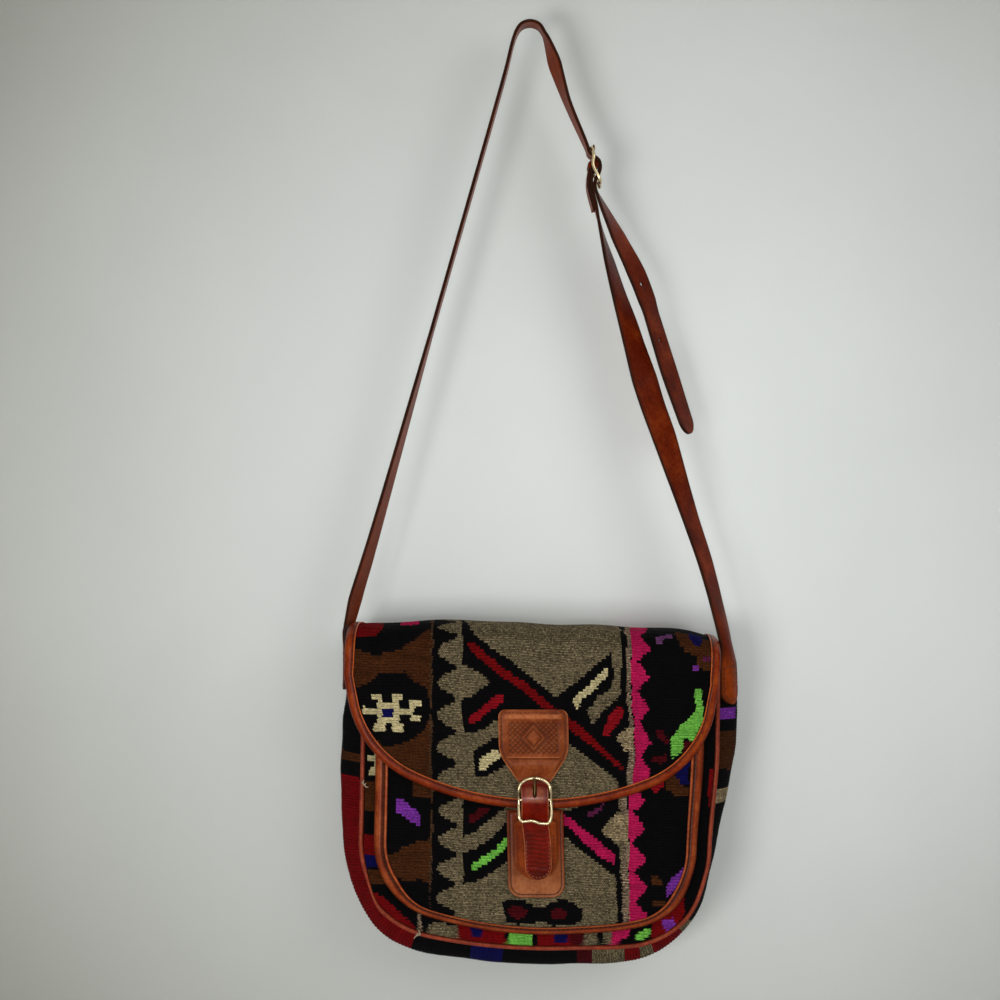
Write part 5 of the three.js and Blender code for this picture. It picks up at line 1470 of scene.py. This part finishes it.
# the loop over the bar gets more coat and a painted highlight along its crest
add_band(shell, point, across, out, width, CLOSURE_LEATHER, tab_columns, distance,
         [(*slot_ends, PRONG_SLOT)],
         lambda a, d: tab_tooling(a, np.interp(d, tab_route.arc, tab_route.line[:, 2])),
         cup=0.005 * smoothstep(z, -18, -10) * (1 - smoothstep(z, 8, 13)), slit=TAB_SLIT,
         tint=1 - smoothstep(z, 9, 15), cut=(0.1, 0.85), wax=loop_face, painted_crest_highlight=0.26 * loop_face)
piece("closure_tab", shell, tab_leather, replaces=["flap_tab"])

# Chape: two plies folded round the bar, with a slot for the prong's eye
behind_flap = CLOSURE_Y - (FLAP_MIDDLE - BINDING_HALF) + GAP + CHAPE_LEATHER
behind_foot = closure_thread[-1][1] - CLOSURE_LEATHER / 2 - GAP - CHAPE_LEATHER
fall = [(0.07, 0), (0.34, 0), (0.48, 0.16), (0.7, 0.6), (0.85, 0.93), (1, 1)]
chape_route = closure_route([(-z * CLOSURE_REACH, lerp(behind_flap, behind_foot, t)) for z, t in fall]
                            + [(-CLOSURE_REACH - 7, CHAPE_FLAT), (-53.5, CHAPE_FLAT)])
notch = distance_to(chape_route, -2.75)
distance = spaced(chape_route.length, 1.5, [(0, notch, 0.6)], (0.0, CHAPE_ROUND))
point, across, out, z = closure_stations(chape_route, distance)
width = lerp(CHAPE_NECK, 2 * CHAPE_ROUND, smoothstep(-z, 11.6, CLOSURE_REACH + WIRE))
width = width * rounded(chape_route.length - distance, CHAPE_ROUND)
chape_half = np.array([0.12, 0.3, 0.5, 0.7, 0.84, 0.93, 1])


def chape_groove(a, d):
    """A line pressed in along the edge of the chape, below its neck."""
    from_edge = np.interp(d, distance, width / 2) - np.abs(a)
    return -0.2 * line_dip(from_edge - 2.2, 0.6) * (d > 16)


shell = Shell()
add_band(shell, point, across, out, width, 2 * CHAPE_LEATHER,
         np.concatenate([-chape_half[::-1], chape_half]), distance, [(-5.0, notch, BAR_SLOT)], chape_groove,
         slit=0.12, cut=(0.7, 0.2))
add_eyes(shell, CHAPE_RING, CHAPE_NECK / 2, at_closure)
piece("closure_chape_leather", shell, chape_leather, replaces=["closure_chape"])


def plate_line(half, low, corner, top, front, d=0.0, rows=30, steps=12):
    """A U on a flat leather plate from its left top round to its right top, d inside its outline."""
    turn = np.linspace(0, math.pi / 2, steps)
    side = np.linspace(top - 0.3 * min(d, 1.0), low + corner, rows, endpoint=False)
    x = np.concatenate([np.full(rows, -(half - d)), -(half - corner) - (corner - d) * np.cos(turn)])
    z = np.concatenate([side, low + corner - (corner - d) * np.sin(turn)])
    return mirrored(xyz(x, -front, z))


# Patch: a plate with a sewn groove, rounded at the bottom. Its profile: d, height and dark share (a dark cut
# edge, and painted shade in the groove)
PATCH_HALF, PATCH_LOW, PATCH_CORNER, PATCH_TOP = 18.8, -65.8, 9.0, -7.8
PATCH_PROFILE = np.array([
    (0.5, -1.8, 0.9), (0.12, -1.65, 0.9), (0, -1.2, 0.8), (0, -0.5, 0.8), (0.15, -0.18, 0.6), (0.55, 0, 0.25),
    (1.2, 0.02, 0.1), (1.7, -0.1, 0.5), (2.1, -0.28, 0.9), (2.5, -0.1, 0.4), (3.0, 0.05, 0), (5, 0.1, 0),
    (8.6, 0.12, 0)])
rings = np.array([plate_line(PATCH_HALF, PATCH_LOW, PATCH_CORNER, PATCH_TOP, CLOSURE_Y - PATCH_FACE + h,
                             d, rows=18, steps=14) for d, h, _ in PATCH_PROFILE])
low_part, high_part = (smoothstep(-rings[..., 2], *span) for span in ((44, 62), (30, 46)))
dark = PATCH_PROFILE[:, 2:]
shell = Shell()
# paler towards the bottom, darker red towards the top
add_loft(shell, at_closure(rings), edge=dark + 0 * low_part, raw=0.2 * low_part * (1 - dark),
         tint=1 - high_part)
piece("closure_patch_leather", shell, patch_leather, replaces=["closure_patch"])

buckle_frame("closure_frame_brass", CLOSURE_WIDTH, CLOSURE_REACH, at_closure, "closure_frame",
             "closure_buckle_frame")
buckle_prong("closure_prong_brass", CLOSURE_REACH, at_closure, "closure_prong", "closure_buckle_prong")

# Shoulder strap

BUCKLE_X, BUCKLE_DROP, LEAN = 42.5, 96.6, math.radians(13.5)
STRAP_FORWARD, STRAP_OFF = 16.0, 1.1  # the right strap lies on the front half of the gusset, a little off it
CROWN_RADIUS, CROWN_DROP = 10.1, 9.0


def at_buckle(p):
    """Points of the strap's buckle where it hangs, leaning with the strap."""
    p = np.asarray(p, float)
    front, bar, z = -p[..., 1], p[..., 0], p[..., 2]
    return xyz(BUCKLE_X - z * math.sin(LEAN) + front * math.cos(LEAN), bar,
               -BUCKLE_DROP + z * math.cos(LEAN) + front * math.sin(LEAN))


def buckle_xz(z, front):
    """A control of a strap at its buckle: x, z, the twist in degrees, and y."""
    p = at_buckle([0, -front, z])
    return (p[0], p[2], 0.0, 0.0)


def sewn_end(side):
    """Where a strap is sewn on: its tip, the seam up to the mouth, then a point beside the fold."""
    forward, more = (STRAP_FORWARD, STRAP_OFF) if side > 0 else (0.0, 0.0)
    off = GAP + STRAP_LEATHER / 2 + more
    tip = -MOUTH_DROP - SEWN_LENGTH
    controls = []
    for z, inwards in ((tip, 0), (tip + SEWN_LENGTH / 2, 0), (-MOUTH_DROP, 0),
                       (-FOLD_RISE / 2, STRAP_LEATHER)):
        bulge = gusset_bulge(z, side * BODY_HALF)
        slope = math.atan(2 * bulge * forward / GUSSET_REACH**2)
        out = bulge * (1 - (forward / GUSSET_REACH) ** 2)
        x = BODY_HALF + out + off * math.cos(slope) - inwards
        y = -forward - off * math.sin(slope)
        p = hang(np.array([side * x, y, z]))
        controls.append((p[0], p[2], -math.degrees(slope), y))
    return controls


def cup_near(distance, x):
    """How a strap is cupped near its sewn end, where it lies on the bow of the gusset."""
    fade = 1 - smoothstep(distance, SEWN_LENGTH, 3 * SEWN_LENGTH)
    return fade * gusset_bulge(-MOUTH_DROP - SEWN_LENGTH + distance, x) / GUSSET_REACH**2


def crown(degrees):
    a = math.radians(degrees)
    return (CROWN_RADIUS * math.cos(a), CROWN_RADIUS * math.sin(a) - CROWN_DROP, 0.0, 0.0)


def between(a, b, share, turn, bow):
    """A control part of the way from a to b, moved aside by bow."""
    return (lerp(a[0], b[0], share) + bow, lerp(a[1], b[1], share), turn, lerp(a[3], b[3], share))


def strap_route(controls):
    return Route([(x, y, z) for x, z, _, y in controls], [t for _, _, t, _ in controls])


def strap_stations(route, distance):
    point, tangent, turn = route.at(distance)
    turn = np.radians(turn)[:, None]
    inner = np.stack([tangent[:, 2], 0 * tangent[:, 0], -tangent[:, 0]], -1)
    back = np.array([[0, 1.0, 0]])
    return point, back * np.cos(turn) + inner * np.sin(turn), -inner * np.cos(turn) + back * np.sin(turn)


TIP = STRAP_WIDTH / 2
strap_columns = both_sides(np.array([0, 0.07, 0.14, 0.3, 0.5, 0.68, 0.8, 0.86, 0.92, 1.0]))


def add_strap(shell, route, distance, holes, width, **looks):
    point, across, out = strap_stations(route, distance)
    add_band(shell, point, across, out, width, STRAP_LEATHER, strap_columns, distance, holes, cut=(1.0, 0.0),
             **looks)


def sewn_looks(distance, x):
    """A creased strap, cupped and lighter towards its sewn end."""
    return {"rise": lambda a, d: -0.13 * line_dip(np.abs(a) - 7.6, 0.45) + 0.0 * d,
            "cup": cup_near(distance, x), "tint": 0.8 * (1 - smoothstep(distance, 24, 40))}


left, right = sewn_end(-1), sewn_end(1)
left[3], right[3] = (-126.0, left[3][1], 3.0, 0.0), (132.9, right[3][1], -27.0, -15.0)
strap_way = threaded(STRAP_LEATHER, STRAP_LEATHER, STRAP_REACH)
strap_thread = [buckle_xz(z, f) for z, f in strap_way]
# x from the buckle, distance below it, twist
tail = [(17.0, 46.2, -31), (29.4, 71, -42), (37.0, 90.4, -40), (39.6, 98.6, -34), (52.2, 139.4, -38),
        (66.3, 181.4, -30)]
long_route = strap_route([
    *left, (-124.2, -408.0, 13.0, 0.0), (-119.3, -391.0, 21.0, 0.0), (-110.8, -363.8, 18.0, 0.0),
    between(left[-1], crown(165), 0.5, 1, 1.0), between(left[-1], crown(165), 0.93, 0.5, 0.6),
    *[crown(a) for a in (165, 125, 90, 55, 15)],
    between(crown(15), strap_thread[0], 0.25, 21, -0.4), between(crown(15), strap_thread[0], 0.6, 6, -1.6),
    *strap_thread, *[(BUCKLE_X + x, -BUCKLE_DROP - d, t, 0.0) for x, d, t in tail]])
# Places in that list: the last beside the bag, both ends of the crown, the last before the buckle, its
# arch and foot, and the first of the tail
BESIDE, CROWN_FROM, CROWN_TO, ABOVE, ARCH, FOOT, TAIL_FROM = 7, 9, 13, 15, 16, 24, 26
up_axis = np.array([-math.sin(LEAN), math.cos(LEAN)])
near = slice(ARCH * ROUTE_STEPS, FOOT * ROUTE_STEPS)
along = (long_route.line[near][:, [0, 2]] - [BUCKLE_X, -BUCKLE_DROP]) @ up_axis
slot_at = np.interp([-SLOT_TOP * STRAP_REACH, -SLOT_FOOT * STRAP_REACH], -along, long_route.arc[near])
holes = [(*slot_at, PRONG_SLOT)]
holes += [(long_route.length - h - 2, long_route.length - h + 2, 2.0) for h in (67, 107)]
stops = long_route.stops
finer = [(0.1, stops[BESIDE], 2.5), (stops[CROWN_FROM], stops[CROWN_TO], 1.3),
         (stops[ABOVE] + 10, stops[TAIL_FROM], 1.0)]
finer += [(low, high, (high - low) / 12) for low, high, _ in holes]
distance = spaced(long_route.length, 5.0, finer, (TIP, TIP))
width = STRAP_WIDTH * rounded(distance, TIP) * rounded(long_route.length - distance, TIP)
shell = Shell()
add_strap(shell, long_route, distance, holes, width, **sewn_looks(distance, -BODY_HALF))
piece("strap_long_leather", shell, strap_leather, replaces=["strap_long"])

ring = loop_radius(STRAP_LEATHER)
main_front = strap_way[-1][1] - STRAP_LEATHER - GAP
below = buckle_xz(-2 * STRAP_REACH, main_front)
# Share of the way from the buckle to the bag, twist, and bow to the side
short_turns = [(0.07, -9, -1.5), (0.13, -21, -2.0), (0.2, -30, -2.4), (0.27, -42, -2.2), (0.33, -50, -2.4),
               (0.4, -66, -2.4), (0.46, -62, -2.2), (0.53, -60, -1.0), (0.61, -48, -0.5)]
short_route = strap_route([
    buckle_xz(-0.1 * STRAP_REACH, -0.3 * ring), buckle_xz(-0.5 * STRAP_REACH, 0.6 * main_front),
    buckle_xz(-STRAP_REACH, main_front), below,
    *[between(below, right[3], share, turn, bow) for share, turn, bow in short_turns],
    (109.1, -336.6, -36.0, -5.0), (118.0, -363.8, -33.0, -7.5), (125.3, -391.0, -29.0, -11.0), *right[::-1]])
distance = spaced(short_route.length, 3.0, [(0, short_route.stops[3], 1.2)], (0.0, TIP))
to_end = short_route.length - distance
eye_slot = [(-5.0, 1.5, BAR_SLOT)]
shell = Shell()
width = STRAP_WIDTH * rounded(to_end, TIP)
add_strap(shell, short_route, distance, eye_slot, width, **sewn_looks(to_end, BODY_HALF))
# The short ply behind it, folded round the bar and sewn down
stub_front = main_front - STRAP_LEATHER + 0.1
stub_route = strap_route([
    buckle_xz(-0.1 * STRAP_REACH, -0.65 * ring),
    buckle_xz(-0.5 * STRAP_REACH, 0.6 * main_front - STRAP_LEATHER + 0.1),
    buckle_xz(-STRAP_REACH, stub_front), buckle_xz(-29.0, stub_front)])
distance = spaced(stub_route.length, 1.5)
add_strap(shell, stub_route, distance, eye_slot, np.full(len(distance), STRAP_WIDTH))
add_eyes(shell, ring, TIP, at_buckle)
piece("strap_short_leather", shell, strap_leather, replaces=["strap_short"])

buckle_frame("strap_frame_brass", STRAP_WIDTH, STRAP_REACH, at_buckle, "strap_frame", "strap_buckle_frame")
buckle_prong("strap_prong_brass", STRAP_REACH, at_buckle, "strap_prong", "strap_buckle_prong")

# Sewing


def off_surface(points_at):
    """A line on a surface and the way out of it, from points_at(lift)."""
    line = points_at(0.0)
    return line, points_at(1.0) - line


def seam(name, lines, material=brown_thread, **size):
    shell = Shell()
    for line, normal in lines:
        add_stitches(shell, line, normal, **size)
    piece(name, shell, material)


def flap_seam(lift):
    return hang(flap_edge(np.array([[-5.4, 2.27 + lift]])))[:, 0]


def pocket_seam(lift):
    return hang(pocket_edge(np.array([[-6.1, 2.0 + lift]])))[:, 0]


seam("flap_binding_thread", [off_surface(flap_seam)], pitch=3.1, length=2.2)
seam("pocket_binding_thread", [off_surface(pocket_seam)], pitch=3.1, length=2.3)


def tab_seam(lift):
    """Round the tab, from its taper up to the rounded top corners."""
    z = np.linspace(17.5, 54, 40)
    turn = np.linspace(math.pi, math.pi / 2, 8)
    a = np.concatenate([-(tab_width(z) / 2 - 2), -18 + 3 * np.cos(turn)])
    z = np.concatenate([z, 54 + 3 * np.sin(turn)])
    front = np.interp(z, tab_route.line[::-1, 2], -tab_route.line[::-1, 1])
    front = front + CLOSURE_LEATHER / 2 - 0.2 + lift
    return at_closure(mirrored(xyz(a, -front, z)))


def plate_seam(half, low, corner, top, front, shift=0.0):
    """A U of stitches on a plate of the closure."""
    return off_surface(lambda lift: at_closure(plate_line(half, low, corner, top, front + lift)
                                               + [shift, 0, 0]))


seam("closure_tab_thread", [off_surface(tab_seam)], pitch=2.6, length=1.7, radius=0.28)
seam("closure_tail_thread",
     [plate_seam(7.5, -51.6, 7.5, -27.0, on_chape + CLOSURE_LEATHER / 2 - 0.12, TAIL_SHIFT)],
     tan_thread, pitch=2.4, length=1.5, radius=0.24)
seam("closure_patch_thread", [plate_seam(16.7, -63.7, 6.9, -15.0, CLOSURE_Y - PATCH_FACE - 0.25)],
     pitch=2.9, length=2.0, radius=0.27)
seam("closure_chape_thread", [plate_seam(11.8, -51.3, 11.8, -23.0, CHAPE_FLAT + CHAPE_LEATHER - 0.17)],
     pitch=2.7, length=1.8, radius=0.26)

SEAM_HALF, SEAM_TOP = 7.2, 25.5  # half-width of a strap's seam, and where it crosses the strap


def strap_seam(route, tip, x):
    """Stitches round the sewn end of a strap: down one side, up the other and across, on its face."""
    def points(lift):
        turn = np.linspace(math.pi, 0, 16)
        side = np.linspace(SEAM_TOP, TIP, 12, endpoint=False)
        d = np.concatenate([side, TIP - SEAM_HALF * np.sin(turn), side[::-1], np.full(8, SEAM_TOP)])
        a = np.concatenate([np.full(12, -SEAM_HALF), SEAM_HALF * np.cos(turn), np.full(12, SEAM_HALF),
                            np.linspace(6.4, -6.4, 8)])
        point, across, out = strap_stations(route, np.abs(tip - d))
        height = STRAP_LEATHER / 2 - 0.08 + lift - cup_near(d, x) * a**2
        return point + across * a[:, None] + out * height[:, None]

    return off_surface(points)


seam("strap_thread", [strap_seam(long_route, 0.0, -BODY_HALF),
                      strap_seam(short_route, short_route.length, BODY_HALF)], pitch=3.0, length=2.1)

# Two yarn ends that stand out of the front seam
shell = Shell()
SEAM_OUT = 1.9  # from the edge of the front panel to the middle of its piping
seam_points = hang(xyz(body_path[:, 0] + body_path[:, 2] * SEAM_OUT, -BODY_DEPTH / 2 - 0.2,
                       body_path[:, 1] + body_path[:, 3] * SEAM_OUT))
for x, z, curl in ((-115.8, -510.5, 1.0), (-73.1, -611.3, -1.0)):
    root = seam_points[np.argmin(np.hypot(seam_points[:, 0] - x, seam_points[:, 2] - z))]
    for k in range(3):
        t = np.linspace(0, 1, 14)[:, None]
        bend = np.array([[curl * (1.2 + 1.5 * k), -1.4, 2.2 - 2.4 * k]])
        line = root + bend * t + np.array([[0, -1.0, -1.6 * curl]]) * np.sin(math.pi * t) * t
        add_tube(shell, line, 0.5 * (1 - 0.5 * t[:, 0] ** 3), 8)
piece("seam_yarn_ends", shell, pale_thread)

# Stage, in metres: a pale wall behind the hanging bag, a floor well below it, soft light and the camera

WALL_Y, FLOOR_Z = 0.04, -0.9


def plane(name, corners, material):
    mesh = bpy.data.meshes.new(name)
    mesh.from_pydata(corners, [], [(0, 1, 2, 3)])
    mesh.materials.append(material)
    obj = linked(name, mesh)
    return obj


def plaster(name, rgb, one_sided):
    n = Nodes(name)
    place = n.place()
    blotch = n.noise(place, 3.0, 4.0)
    colour = n.mix(n.span(blotch, 0.35, 0.65, 0.0, 1.0), rgba(rgb), rgba([0.965 * c for c in rgb]))
    if one_sided:  # painted light: the wall is darkened away from the bag and from a lit spot right of it
        def distance_from(centre):
            inputs = {0: place, 1: centre}
            return n.node("ShaderNodeVectorMath", inputs, operation="DISTANCE").outputs["Value"]

        # painted shade on the wall, darker away from the bag
        away = distance_from((-0.02, WALL_Y, -0.33))
        colour = n.mix(n.span(away, 0.12, 0.52, 0.0, 0.36), colour, rgba([0.62 * c for c in rgb]))
        # painted falloff of light from a lit spot right of the bag, warmer as it darkens
        spread = distance_from((0.11, WALL_Y, -0.31))
        painted_falloff = n.times(n.times(spread, spread), 1.52)
        fall = n.math("MAXIMUM", n.math("SUBTRACT", 1.03, painted_falloff), 0.35)
        falloff_tones = {0: n.math("POWER", fall, 0.96), 1: fall, 2: n.math("POWER", fall, 1.12)}
        colour = n.mix(1.0, colour, n.node("ShaderNodeCombineColor", falloff_tones).outputs[0], "MULTIPLY")
    n.finish(colour, 0.85, n.bump(n.noise(place, 260.0, 3.0), 0.08, 0.0004), Specular_IOR_Level=0.2)
    if one_sided:  # seen from behind, the wall is not there
        back = n.node("ShaderNodeNewGeometry").outputs["Backfacing"]
        clear = n.node("ShaderNodeBsdfTransparent").outputs[0]
        both = n.node("ShaderNodeMixShader")
        for socket, value in zip(both.inputs, (back, n.shader.outputs[0], clear)):
            n.set(socket, value)
        n.set(n.tree.nodes["Material Output"].inputs["Surface"], both.outputs[0])
    return n.material


wall_corners = [(-1.6, WALL_Y, FLOOR_Z), (1.6, WALL_Y, FLOOR_Z), (1.6, WALL_Y, 1.2), (-1.6, WALL_Y, 1.2)]
wall = plane("wall", wall_corners, plaster("wall_paint", (236, 239, 236), True))
wall.visible_shadow = False
wall.visible_diffuse = False
plane("floor", [(-3, -4, FLOOR_Z), (3, -4, FLOOR_Z), (3, 3, FLOOR_Z), (-3, 3, FLOOR_Z)],
      plaster("floor_paint", (214, 214, 212), False))

MIDDLE = Vector((0.0, 0.0, -0.42))  # what the lamps are aimed at


def lamp(name, place, size, power):
    data = bpy.data.lights.new(name, "AREA")
    data.shape, data.size, data.energy = "DISK", size, power
    obj = linked(name, data)
    obj.location = place
    obj.rotation_euler = (MIDDLE - Vector(place)).to_track_quat("-Z", "Y").to_euler()
    obj.visible_camera = False


lamp("key", (-0.75, -1.7, -0.75), 0.7, 14.3)
lamp("fill", (1.1, -1.5, 0.35), 1.2, 7.6)
lamp("front", (0.0, -1.5, -0.42), 0.16, 2.4)
lamp("back", (0.5, 1.9, 0.3), 1.4, 16.0)

world = bpy.data.worlds.new("studio")
bpy.context.scene.world = world
world.use_nodes = True
tree = world.node_tree
background = tree.nodes["Background"]
background.inputs["Color"].default_value = (0.92, 0.95, 0.94, 1)
rays = tree.nodes.new("ShaderNodeLightPath").outputs


def larger(a, b):
    n = tree.nodes.new("ShaderNodeMath")
    n.operation = "MAXIMUM"
    tree.links.new(a, n.inputs[0])
    tree.links.new(b, n.inputs[1])
    return n.outputs[0]


# What is seen of the studio, straight or mirrored, is a little brighter than its light
seen = larger(larger(rays["Is Camera Ray"], rays["Is Glossy Ray"]), rays["Is Transmission Ray"])
level = tree.nodes.new("ShaderNodeMapRange")
level.inputs[3].default_value, level.inputs[4].default_value = 0.42, 0.55
tree.links.new(seen, level.inputs[0])
tree.links.new(level.outputs[0], background.inputs["Strength"])

camera = bpy.data.cameras.new("camera")
camera.lens, camera.sensor_width = 74.1, 36.0
view = linked("camera", camera)
view.location = (-0.0204, -1.4, -0.323)
view.rotation_euler = (math.pi / 2, 0, 0)
bpy.context.scene.camera = view
bpy.context.scene.view_settings.view_transform = "Standard"
